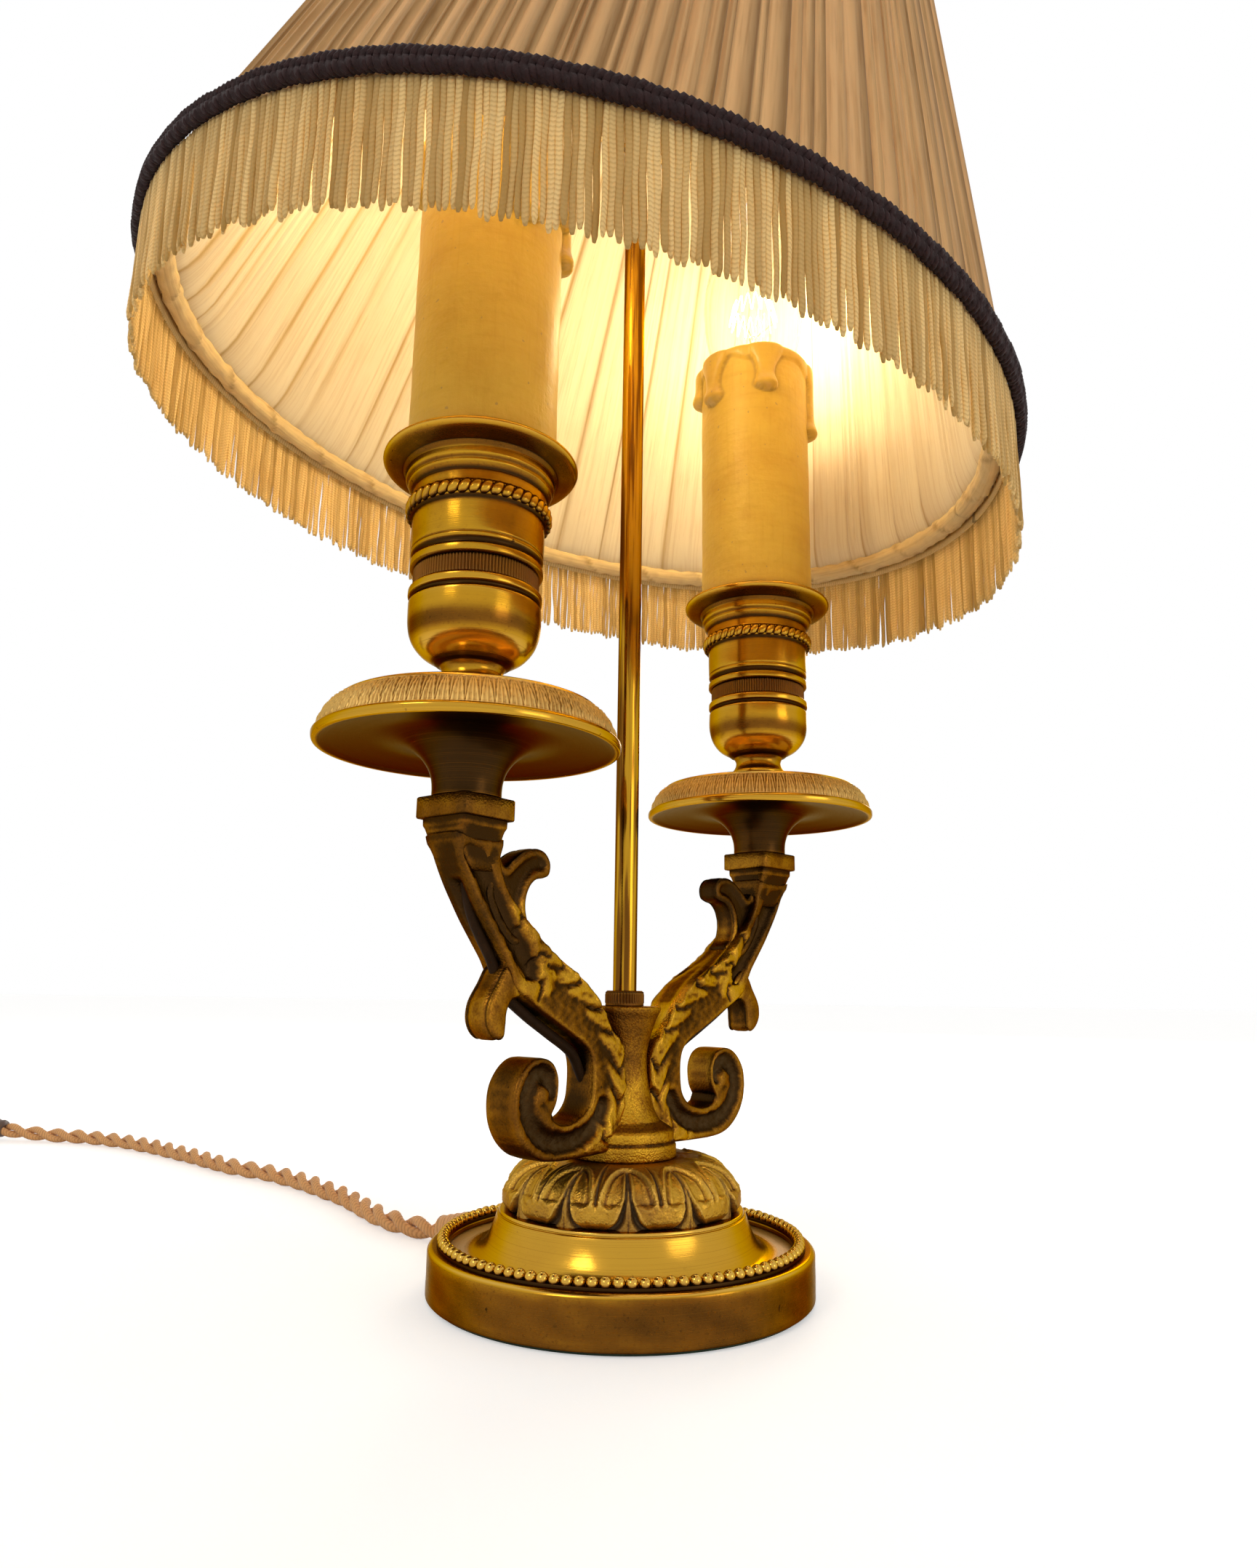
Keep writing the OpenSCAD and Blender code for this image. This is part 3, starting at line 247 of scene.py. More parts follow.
class Finish:
    """A material under construction: one method for its nodes, and short names for the usual ones."""

    def __init__(self, name, **constants):
        self.material = bpy.data.materials.new(name)
        self.material.use_nodes = True
        self.tree = self.material.node_tree
        self.shader = self.tree.nodes["Principled BSDF"]
        for socket, value in constants.items():
            self.shader.inputs[socket.replace("_", " ")].default_value = value

    def node(self, kind, settings=(), values=()):
        """Adds a node: its settings first, then the values or links of its sockets. Returns its outputs."""
        made = self.tree.nodes.new("ShaderNode" + kind)
        for key, value in dict(settings).items():
            if key == "stops":
                for k, (place, colour) in enumerate(value):
                    stop = made.color_ramp.elements[k] if k < 2 else made.color_ramp.elements.new(place)
                    stop.position, stop.color = place, (*colour, 1)
            else:
                setattr(made, key, value)
        for key, value in dict(values).items():
            self.feed(made.inputs[key], value)
        return [Value(self, out) for out in made.outputs]

    def feed(self, socket, value):
        if isinstance(value, Value):
            self.tree.links.new(value.socket, socket)
        else:
            socket.default_value = value

    def set(self, **inputs):
        for name, value in inputs.items():
            self.feed(self.shader.inputs[name.replace("_", " ")], value)
        return self.material

    def mixed(self, first, second, share, blend="MIX"):
        """A colour between two, each a triple or a link."""
        first, second = (v if isinstance(v, Value) else (*v, 1) for v in (first, second))
        return self.node("Mix", {"data_type": "RGBA", "blend_type": blend}, {0: share, 6: first, 7: second})[2]

    def place(self, stretch=(1, 1, 1)):
        """The point on the piece in millimetres, stretched along each axis."""
        at = self.node("TexCoord")[3]
        scale = [s / MM for s in stretch]
        return self.node("VectorMath", {"operation": "MULTIPLY"}, {0: at, 1: scale})[0]

    def apart(self, vector):
        return self.node("SeparateXYZ", (), {0: vector})

    def noise(self, size, detail=3.0, stretch=(1, 1, 1), rough=0.55, at=None):
        """Cloudy noise from 0 to 1, whose patches are about size millimetres."""
        at = at or self.place(stretch)
        return self.node("TexNoise", (), {"Vector": at, "Scale": 1 / size, "Detail": detail, "Roughness": rough})[0]

    def grains(self, size, stretch=(1, 1, 1), feature="F1", at=None):
        at = at or self.place(stretch)
        return self.node("TexVoronoi", {"feature": feature}, {"Vector": at, "Scale": 1 / size})[0]

    def mark(self, name):
        """A number that the mesh carries at each point."""
        return self.node("Attribute", {"attribute_name": name})[2]

    def bump(self, height, depth, base=None):
        values = {"Height": height, "Distance": depth * MM, "Strength": 1.0}
        if base is not None:
            values["Normal"] = base
        return self.node("Bump", (), values)[0]


# Meshes


class Form:
    """Points in millimetres and faces, gathered skin by skin into one mesh."""

    def __init__(self):
        self.points, self.faces, self.marks = [], [], {}

    def skin(self, rows, around=True, looped=False, caps=False, **marks):
        """Adds a net of points: rows of equal length, closed around each row, and looped if the last row joins the first."""
        rows = np.asarray(rows, float)
        count, wide = rows.shape[:2]
        start = len(self.points)
        self.points.extend(map(tuple, rows.reshape(-1, 3)))
        for name in set(marks) | set(self.marks):
            kept = self.marks.setdefault(name, [0.0] * start)
            kept.extend(np.broadcast_to(marks.get(name, 0.0), (count, wide)).ravel().tolist())
        for r in range(count if looped else count - 1):
            low, high = start + r * wide, start + (r + 1) % count * wide
            for c in range(wide if around else wide - 1):
                d = (c + 1) % wide
                self.faces.append((low + c, low + d, high + d, high + c))
        if caps:
            self.faces.append(tuple(start + c for c in reversed(range(wide))))
            self.faces.append(tuple(start + (count - 1) * wide + c for c in range(wide)))
        return self

    def net(self, points, faces, **marks):
        start = len(self.points)
        self.points.extend(map(tuple, points))
        for name in set(marks) | set(self.marks):
            kept = self.marks.setdefault(name, [0.0] * start)
            kept.extend(np.broadcast_to(marks.get(name, 0.0), (len(points),)).tolist())
        self.faces.extend(tuple(start + i for i in face) for face in faces)
        return self


def turned_rows(profile, sides=128, warp=None):
    """A profile of (radius, height) turned about the axis. warp moves it: (angle, radius, height) to both."""
    profile = np.asarray(profile, float)
    angle = np.arange(sides) * TAU / sides
    radius, height = (np.repeat(profile[:, k : k + 1], sides, 1) for k in (0, 1))
    if warp:
        radius, height = warp(np.broadcast_to(angle, radius.shape), radius, height)
    return np.stack([radius * np.cos(angle), radius * np.sin(angle), height], -1)


def eased(profile, size=0.35, steps=3):
    """Rounds each corner of an open profile by size at most."""
    profile = [np.asarray(p, float) for p in profile]
    out = [profile[0]]
    for before, at, after in zip(profile, profile[1:], profile[2:]):
        back, on = before - at, after - at
        reach_back, reach_on = np.linalg.norm(back), np.linalg.norm(on)
        if min(reach_back, reach_on) < 1e-6:
            continue
        first = at + back / reach_back * min(size, reach_back * 0.45)
        last = at + on / reach_on * min(size, reach_on * 0.45)
        for t in np.linspace(0, 1, steps + 1):
            out.append((1 - t) ** 2 * first + 2 * t * (1 - t) * at + t * t * last)
    return np.array(out + [profile[-1]])


def finely(profile, step):
    """The same profile with points no further apart than step."""
    profile = np.asarray(profile, float)
    out = [profile[0]]
    for a, b in zip(profile, profile[1:]):
        count = max(1, math.ceil(np.linalg.norm(b - a) / step))
        out.extend(a + (b - a) * k / count for k in range(1, count + 1))
    return np.array(out)


def curved(points, steps, closed=False):
    """A smooth line through the points."""
    points = np.asarray(points, float)
    count = len(points)
    out = []
    for k in range(count if closed else count - 1):
        index = [k - 1, k, k + 1, k + 2]
        a, b, c, d = (points[i % count] if closed else points[min(max(i, 0), count - 1)] for i in index)
        for t in np.arange(steps) / steps:
            out.append((2 * b + (c - a) * t + (2 * a - 5 * b + 4 * c - d) * t * t
                        + (3 * b - a - 3 * c + d) * t ** 3) / 2)
    return np.array(out if closed else out + [points[-1]])


def frames(path, closed=False):
    """Two unit vectors across the path at each of its points, turning as little as they can."""
    path = np.asarray(path, float)
    ahead = (np.roll(path, -1, 0) - np.roll(path, 1, 0)) if closed else np.gradient(path, axis=0)
    ahead /= np.linalg.norm(ahead, axis=1, keepdims=True)
    side = np.cross([0, 0, 1] if abs(ahead[0][2]) < 0.9 else [0, 1, 0], ahead[0])
    sides = []
    for d in ahead:
        side = side - d * side.dot(d)
        side = side / np.linalg.norm(side)
        sides.append(side)
    sides = np.array(sides)
    return sides, np.cross(ahead, sides)


def lengths(path):
    return np.concatenate([[0], np.cumsum(np.linalg.norm(np.diff(path, axis=0), axis=1))])


def evenly(path, step):
    """Points on the path about step apart."""
    path = np.asarray(path, float)
    run = lengths(path)
    at = np.linspace(0, run[-1], max(2, round(run[-1] / step) + 1))
    return np.stack([np.interp(at, run, path[:, k]) for k in range(3)], 1)


def tube_rows(path, section, closed=False):
    """Sweeps sections along the path. section gives (across, up) for each point, as arrays or one for all."""
    sides, ups = frames(path, closed)
    section = np.asarray(section, float)
    if section.ndim == 2:
        section = np.broadcast_to(section, (len(path), *section.shape))
    return np.asarray(path)[:, None] + section[..., :1] * sides[:, None] + section[..., 1:] * ups[:, None]


def circle(radius, sides, start=0.0):
    angle = start + np.arange(sides) * TAU / sides
    return np.stack([np.cos(angle), np.sin(angle)], 1) * radius


def spun(points, degrees, shift=0.0):
    """Points moved out along X by shift and turned about the upright axis."""
    points = np.asarray(points, float) + np.array([shift, 0, 0])
    c, s = math.cos(math.radians(degrees)), math.sin(math.radians(degrees))
    x, y = points[..., 0] * c - points[..., 1] * s, points[..., 0] * s + points[..., 1] * c
    return np.stack([x, y, points[..., 2]], -1)


def at_arm(points, side):
    return spun(points, SIDES[side], ARM_REACH)


def hollows(mesh, rounds, depth):
    """How far each point lies in a hollow, from 0 on ridges to 1 at depth millimetres below its surroundings."""
    count = len(mesh.vertices)
    place, normal = np.empty(count * 3), np.empty(count * 3)
    mesh.vertices.foreach_get("co", place)
    mesh.vertices.foreach_get("normal", normal)
    place, normal = place.reshape(-1, 3) / MM, normal.reshape(-1, 3)
    ends = np.empty(len(mesh.edges) * 2, int)
    mesh.edges.foreach_get("vertices", ends)
    a, b = ends.reshape(-1, 2).T
    linked = (np.bincount(a, minlength=count) + np.bincount(b, minlength=count)).clip(1)[:, None]
    soft = place.copy()
    for _ in range(rounds):
        total = np.stack([np.bincount(a, soft[b, k], count) + np.bincount(b, soft[a, k], count) for k in range(3)], 1)
        soft = 0.4 * soft + 0.6 * total / linked
    return np.clip(((soft - place) * normal).sum(1) / depth, -1, 1), normal


def piece(name, form, body, finish, slot, stands_for=(), patina=None, smooth=True):
    """Makes a mesh object from a form, gives it to a body and sets its finish.

    The patina setting is (rounds, depth, underside): dark in hollows of that depth, and painted shade underneath by
    that share.
    The form's own soot and shade mark adds to it; where that mark is below 0 it brightens instead, as wear and painted
    highlight."""
    mesh = bpy.data.meshes.new(name)
    mesh.from_pydata([tuple(np.asarray(p) * MM) for p in form.points], [], form.faces)
    for mark, values in form.marks.items():
        mesh.attributes.new(mark, "FLOAT", "POINT").data.foreach_set("value", values)
    mesh.polygons.foreach_set("use_smooth", [smooth] * len(mesh.polygons))
    mesh.update()
    if patina:
        rounds, depth, under = patina
        hollow, normal = hollows(mesh, rounds, depth)
        soot = np.array(form.marks.get("soot", 0.0))
        # Painted shade: darker by the underside share where the face points down.
        age = hollow.clip(-0.25, 1) + soot + under * np.clip(-normal[:, 2] - 0.1, 0, 1)
        mesh.attributes.new("patina", "FLOAT", "POINT").data.foreach_set("value", np.clip(age, 0, 1))
        # Brighter on ridges and where the mark is below 0: wear and painted highlight.
        mesh.attributes.new("worn", "FLOAT", "POINT").data.foreach_set("value", np.clip(-0.35 * hollow - soot, 0, 1))
    mesh.materials.append(finish)
    obj = bpy.data.objects.new(name, mesh)
    bpy.context.scene.collection.objects.link(obj)
    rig.ride(obj, body)
    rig.slot(obj, slot)
    if stands_for:
        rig.replaces(obj, *stands_for)
    return obj


def dress(finish, *nodes):
    """Gives CAD nodes that stay as they are a better material."""
    for name in nodes:
        node = frame["nodes"][name]
        for k in range(len(node.material_slots)):
            node.material_slots[k].link = "OBJECT"
            node.material_slots[k].material = finish


# Finishes

AMBER, RUBBED, DUST = (0.19, 0.074, 0.008), (0.74, 0.48, 0.12), (0.19, 0.125, 0.065)


def gilt(name, bright, deep, rough=0.2, cast=0.0, stain=0.3, lines=False, aged=True, powder=DUST):
    """Gilt bronze: bright where it is rubbed and where a highlight is painted, amber and then deep brown where dirt and
    lacquer have gathered and where shade is painted underneath.

    cast is the depth of a granular casting skin, stain how far clouds of tarnish darken it, lines adds turning marks."""
    f = Finish(name, Specular_Tint=(0.56, 0.4, 0.17, 1))
    cloud, fine = f.noise(16, 5), f.noise(0.7, 3)
    dark = cloud.between(0.35, 0.75) * stain + fine.between(0.55, 0.8) * 0.15
    worn = dust = 0.0
    if aged:
        worn, dust = f.mark("worn"), f.mark("dust")
        # Patina in hollows and painted shade underneath darken; wear and painted highlight lighten.
        dark = dark + f.mark("patina") * 1.1 - worn * 0.6
    pits = f.noise(2.3, 2, at=f.place((1, 1, 0.8))).between(0.71, 0.76) * f.noise(14, 1).between(0.5, 0.6)
    dark = dark + pits * 0.7
    height = fine * 0.25 - pits
    normal = None
    if cast:
        grain = f.grains(0.5) * 0.8 + f.noise(0.9, 3) * 0.9
        dark = dark + grain.between(0.75, 1.15) * (cast * 1.2)
        normal = f.bump(grain * -1.0, cast)
        rough = rough + 0.06
    dark = dark.least(1.0).most(0.0)
    colour = f.mixed(bright, AMBER, dark.between(0.0, 0.6))
    colour = f.mixed(colour, deep, dark.between(0.35, 1.0))
    colour = f.mixed(colour, (1.0, 0.84, 0.6), f.noise(19, 2).between(0.45, 0.8) * 0.4, "MULTIPLY")
    roughness = dark * 0.16 + fine * 0.08 + rough
    if aged:
        # Rubbed gold on edges and ridges: wear, and painted highlight on the rims.
        colour = f.mixed(colour, RUBBED, worn * 0.75)
        dust = dust * (fine * 0.7 + 0.45)
        colour = f.mixed(colour, powder, dust)
        roughness = roughness + dust * 0.3
    if lines:
        run = f.mark("run")
        turning = f.node("TexNoise", {"noise_dimensions": "1D"}, {"W": run, "Scale": 4.5, "Detail": 3.0})[0]
        height = height + turning * 0.35
        roughness = roughness + turning.between(0.5, 0.75) * 0.07
        colour = f.mixed(colour, AMBER, turning.between(0.55, 0.8) * 0.35)
    metal = 1.0 - dust * 0.85 if aged else 1.0
    return f.set(Base_Color=colour, Roughness=roughness, Metallic=metal, Normal=f.bump(height, 0.025, normal))


def streaked_brass(name, bright, deep):
    """Polished tube with long streaks of brown lacquer down it."""
    f = Finish(name, Metallic=1.0, Specular_Tint=(0.56, 0.4, 0.17, 1))
    streak = f.noise(1.6, 3, (1, 1, 0.03))
    veins = f.noise(0.6, 2, (1, 1, 0.015)).between(0.55, 0.75)
    dark = (streak.between(0.42, 0.62) * 0.75 + veins * 0.35).least(1.0)
    tone = f.mixed(f.mixed(bright, AMBER, dark.between(0.0, 0.6)), deep, dark.between(0.5, 1.0) * 0.7)
    return f.set(Base_Color=tone, Roughness=0.12 + dark * 0.15, Normal=f.bump(streak + veins * 0.4, 0.02))


def wax(name, colour):
    """Matt wax-covered card: faint wrap lines round it and fibres down it."""
    f = Finish(name, Subsurface_Weight=0.07, Subsurface_Scale=0.003, Subsurface_Radius=(1.0, 0.6, 0.25))
    rings = f.noise(2.6, 4, (0.12, 0.12, 1))
    fibres = f.noise(1.1, 3, (1, 1, 0.07))
    fingers = f.noise(1.6, 4)
    cloud = f.noise(13, 3)
    thick = f.mark("drip")
    tone = f.mixed(colour, (0.84, 0.72, 0.5), cloud.between(0.4, 0.8) * 0.6, "MULTIPLY")
    grain = (rings.between(0.45, 0.75) * 0.4 + fibres.between(0.5, 0.8) * 0.35 + fingers.between(0.5, 0.8) * 0.3).least(1.0)
    tone = f.mixed(tone, (0.86, 0.78, 0.62), grain, "MULTIPLY")
    tone = f.mixed(tone, (0.62, 0.36, 0.05), thick * 0.3)
    # Painted shade along the edges of the drips.
    tone = f.mixed(tone, (0.24, 0.115, 0.02), f.mark("crease") * 0.4)
    specks = f.noise(1.9, 1).between(0.74, 0.78)
    tone = f.mixed(tone, (0.33, 0.2, 0.08), specks * 0.5)
    height = rings * 0.5 + fibres * 0.25 + fingers * 0.6 + f.noise(5, 2)
    return f.set(Base_Color=tone, Roughness=0.46 - thick * 0.14, Normal=f.bump(height, 0.2))


def cloth(name, colour, shade, threads=0.42, glow=0.35, crepe=0.0):
    """Thin woven cloth that lets some light through, with its weave laid along the marks across and along, and painted
    shade in its folds and laps.
    """
    f = Finish(name, Roughness=0.82, Sheen_Weight=0.2, Sheen_Roughness=0.4)
    across, along = f.mark("across"), f.mark("along")
    weave = (across * (TAU / threads)).sine() * (along * (TAU / threads)).sine() * 0.5 + 0.5
    slubs = f.noise(0.8, 2, at=f.node("CombineXYZ", (), {0: across, 1: along * 0.06})[0])
    ribs = f.noise(0.9, 3, at=f.node("CombineXYZ", (), {0: across, 1: along * 0.02})[0])
    dirt = f.noise(26, 4)
    # Painted shade: folds and laps darken toward the shade colour, on the surface and in the light let through.
    fold = f.mark("fold")
    tone = f.mixed(colour, shade, (fold * 0.95 + slubs.between(0.5, 0.8) * 0.25 + ribs.between(0.45, 0.7) * 0.3).least(1.0))
    tone = f.mixed(tone, (0.86, 0.76, 0.58), dirt.between(0.5, 0.8) * 0.25 + weave * 0.06, "MULTIPLY")
    height = weave * 0.3 + ribs * (0.9 + crepe)
    f.set(Base_Color=tone, Normal=f.bump(height, 0.16 + crepe * 0.2))
    return lit_through(f, f.mixed(colour, shade, fold), glow)


def lit_through(f, colour, share):
    """Lets part of the light pass through the finish, tinted by its colour."""
    thin = f.node("BsdfTranslucent", (), {"Color": colour})[0]
    both = f.tree.nodes.new("ShaderNodeMixShader")
    both.inputs[0].default_value = share
    f.tree.links.new(f.shader.outputs[0], both.inputs[1])
    f.tree.links.new(thin.socket, both.inputs[2])
    f.tree.links.new(both.outputs[0], f.tree.nodes["Material Output"].inputs[0])
    return f.material


def yarn(name, colour, deep, slant, lay, glow=0.0, shine=0.2, depth=0.2):
    """Chained or braided yarn: a chevron down each strand, whose arms fall by slant, one in lay millimetres."""
    f = Finish(name, Roughness=0.75, Sheen_Weight=shine, Sheen_Roughness=0.35, Specular_IOR_Level=0.25)
    chevron = (abs(f.mark("across")) * slant + f.mark("along") * (TAU / lay)).sine() * 0.5 + 0.5
    fuzz = f.noise(0.5, 3, (1, 1, 0.6))
    cloud = f.noise(15, 3)
    tone = f.mixed(deep, colour, (chevron.between(0.0, 0.7) * 0.4 + fuzz * 0.4 + 0.4).least(1.0))
    tone = f.mixed(tone, (0.80, 0.66, 0.5), cloud.between(0.45, 0.8) * 0.5, "MULTIPLY")
    tone = f.mixed(tone, deep, f.mark("fold"))
    f.set(Base_Color=tone, Normal=f.bump(chevron + fuzz * 0.6, depth))
    return lit_through(f, (*colour, 1), glow) if glow else f.material


def plain(name, colour, deep, rough=0.45, size=3.0, depth=0.04, **constants):
    """A quiet surface: plastic, ceramic, felt, iron or steel, with mottling and a fine skin."""
    f = Finish(name, **constants)
    mottle, skin = f.noise(size * 3, 4), f.noise(size * 0.25, 3)
    tone = f.mixed(colour, deep, mottle.between(0.35, 0.8) * 0.6 + skin.between(0.5, 0.8) * 0.3)
    return f.set(Base_Color=tone, Roughness=mottle * 0.15 + (rough - 0.05), Normal=f.bump(skin + mottle * 0.6, depth))


def clear_glass(name, tint):
    """Blown glass with faint waves."""
    f = Finish(name, Base_Color=(*tint, 1), Transmission_Weight=1.0, IOR=1.45)
    smear = f.noise(9, 2)
    return f.set(Roughness=smear.between(0.5, 0.9) * 0.03, Normal=f.bump(smear, 0.05))


def glowing(name, colour, strength):
    """Hot filament wire."""
    f = Finish(name, Emission_Strength=strength, Roughness=0.5)
    return f.set(Emission_Color=f.mixed(colour, (1.0, 0.9, 0.6), f.noise(0.8, 2)), Base_Color=(0.2, 0.1, 0.04, 1))


_made = {}


def finish(slot, marks=True):
    """The finish of a material slot, made once. marks says that the mesh carries patina with painted shade, wear with
    painted highlight, and run marks.
    """
    tints = bpy.context.scene.lamp_colours
    bright, deep = tuple(tints.gilt), tuple(tints.patina)
    makers = {
        "felt": lambda n: plain(n, (0.03, 0.06, 0.035), (0.015, 0.03, 0.02), 0.95, 1.0, 0.3),
        "cover_steel": lambda n: plain(n, (0.42, 0.42, 0.41), (0.25, 0.24, 0.22), 0.4, 2, Metallic=1.0),
        "ballast_iron": lambda n: plain(n, (0.09, 0.085, 0.08), (0.05, 0.045, 0.04), 0.7, 2, 0.2, Metallic=0.6),
        "polished_gilt": lambda n: gilt(n, bright, deep, 0.12, stain=0.2, lines=marks, aged=marks),
        "plate_gilt": lambda n: gilt(n, bright, deep, 0.14, stain=0.2, lines=marks, powder=(0.40, 0.225, 0.045)),
        "arm_gilt": lambda n: gilt(n, bright, deep, 0.15, 0.07, 0.35, powder=(0.10, 0.06, 0.022)),
        "aged_gilt": lambda n: gilt(n, bright, deep, 0.2, 0.09, 0.45, aged=marks),
        "column_gilt": lambda n: gilt(n, bright, deep, 0.22, 0.13, 0.52, aged=marks),
        "band_gilt": lambda n: gilt(n, (0.68, 0.44, 0.14), (0.12, 0.06, 0.02), 0.42, 0.03, 0.2, aged=marks),
        "dark_bronze": lambda n: gilt(n, (0.15, 0.058, 0.014), (0.035, 0.017, 0.007), 0.35, 0.03, 0.5, aged=marks),
        "fastener_steel": lambda n: plain(n, (0.45, 0.43, 0.4), (0.2, 0.18, 0.15), 0.35, 2, Metallic=1.0),
        "rod_brass": lambda n: streaked_brass(n, bright, deep),
        "gland_plastic": lambda n: plain(n, (0.035, 0.022, 0.015), (0.02, 0.012, 0.008), 0.5, 1.5),
        "wire_sleeve": lambda n: plain(n, (0.02, 0.009, 0.003), (0.04, 0.018, 0.007), 0.6, 1.2, 0.05, Specular_IOR_Level=0.06),
        "thread_brass": lambda n: plain(n, (0.55, 0.36, 0.12), (0.25, 0.15, 0.05), 0.3, 1.5, Metallic=1.0),
        "candle_wax": lambda n: wax(n, tuple(tints.wax)),
        "holder_ceramic": lambda n: plain(n, (0.78, 0.74, 0.66), (0.6, 0.55, 0.46), 0.35, 3),
        "contact_brass": lambda n: plain(n, (0.62, 0.43, 0.17), (0.35, 0.2, 0.07), 0.3, 1.0, Metallic=1.0),
        "bulb_glass": lambda n: clear_glass(n, (1.0, 0.985, 0.95)),
        "cap_metal": lambda n: plain(n, (0.6, 0.55, 0.44), (0.36, 0.3, 0.2), 0.28, 1.6, Metallic=1.0),
        "mount_glass": lambda n: clear_glass(n, (0.97, 0.97, 0.93)),
        "frame_wire": lambda n: plain(n, (0.34, 0.3, 0.24), (0.16, 0.12, 0.08), 0.4, 1.5, Metallic=1.0),
        "ribbon": lambda n: cloth(n, (0.95, 0.72, 0.34), (0.50, 0.30, 0.10), 0.5, 0.2, 0.4),
        "cover_cloth": lambda n: cloth(n, tuple(tints.cover), (0.40, 0.21, 0.06), 0.45, 0.4),
        "lining_cloth": lambda n: cloth(n, tuple(tints.lining), (0.60, 0.42, 0.18), 0.42, 0.2),
        "braid": lambda n: yarn(n, tuple(tints.braid), (0.005, 0.002, 0.002), 2.5, 1.1, shine=0.03, depth=0.4),
        "fringe_yarn": lambda n: yarn(n, tuple(tints.fringe), (0.42, 0.26, 0.08), 3.2, 1.0, glow=0.3, shine=0.05, depth=0.08),
        "cord_textile": lambda n: yarn(n, tuple(tints.cord), (0.30, 0.12, 0.035), 3.0, 1.3, depth=0.1),
        "switch_ivory": lambda n: plain(n, (0.62, 0.5, 0.3), (0.5, 0.38, 0.2), 0.38, 6, 0.02),
        "rocker_brown": lambda n: plain(n, (0.1, 0.05, 0.028), (0.06, 0.03, 0.018), 0.35, 3, 0.02),
        "filament": lambda n: glowing(n, (1.0, 0.62, 0.25), 60.0),
        "support_wire": lambda n: plain(n, (0.5, 0.48, 0.44), (0.3, 0.28, 0.25), 0.3, 1, Metallic=1.0),
    }
    key = slot if marks else slot + "_plain"
    if key not in _made:
        _made[key] = makers[slot](key)
    return _made[key]


# Stage and cord


class LampColours(bpy.types.PropertyGroup):
    """Colours that a user would change."""

    gilt: FloatVectorProperty(name="Gilt", description="Rubbed gilding", subtype="COLOR", default=(0.47, 0.245, 0.016))
    patina: FloatVectorProperty(name="Patina", description="Tarnish in hollows", subtype="COLOR", default=(0.036, 0.017, 0.005))
    wax: FloatVectorProperty(name="Wax", description="Candle sleeves", subtype="COLOR", default=(0.70, 0.455, 0.055))
    lining: FloatVectorProperty(name="Lining", description="Cloth inside the shade", subtype="COLOR", default=(0.96, 0.85, 0.60))
    cover: FloatVectorProperty(name="Cover", description="Cloth outside the shade", subtype="COLOR", default=(1.0, 0.69, 0.32))
    braid: FloatVectorProperty(name="Braid", description="Braid round the shade", subtype="COLOR", default=(0.024, 0.008, 0.008))
    fringe: FloatVectorProperty(name="Fringe", description="Fringe strands", subtype="COLOR", default=(1.0, 0.78, 0.37))
    cord: FloatVectorProperty(name="Cord", description="Twisted mains cord", subtype="COLOR", default=(0.76, 0.41, 0.17))


class LampSizes(bpy.types.PropertyGroup):
    """Sizes and counts that a user would change."""

    ambient: FloatProperty(name="Ambient", description="Strength of the surrounding light", default=0.62, min=0)
    bulb_power: FloatProperty(name="Bulb light", description="Power of each bulb", default=0.107, min=0, unit="POWER")
    leaves: IntProperty(name="Dome leaves", description="Leaves round the dome", default=12, min=4)
    beads: IntProperty(name="Beads", description="Beads round the base", default=100, min=20)
    band_leaves: IntProperty(name="Pan leaves", description="Leaves round each drip pan", default=72, min=12)
    lining_pleats: IntProperty(name="Lining pleats", description="Pleats inside the shade", default=50, min=12)
    cover_pleats: IntProperty(name="Cover pleats", description="Pleats outside the shade", default=180, min=12)
    strands: IntProperty(name="Fringe strands", description="Strands round the shade", default=560, min=60)
    fringe: FloatProperty(name="Fringe", description="Length of a strand in millimetres", default=29.6, min=1)
    lay: FloatProperty(name="Cord lay", description="One twist of the cord in millimetres", default=23.0, min=5)


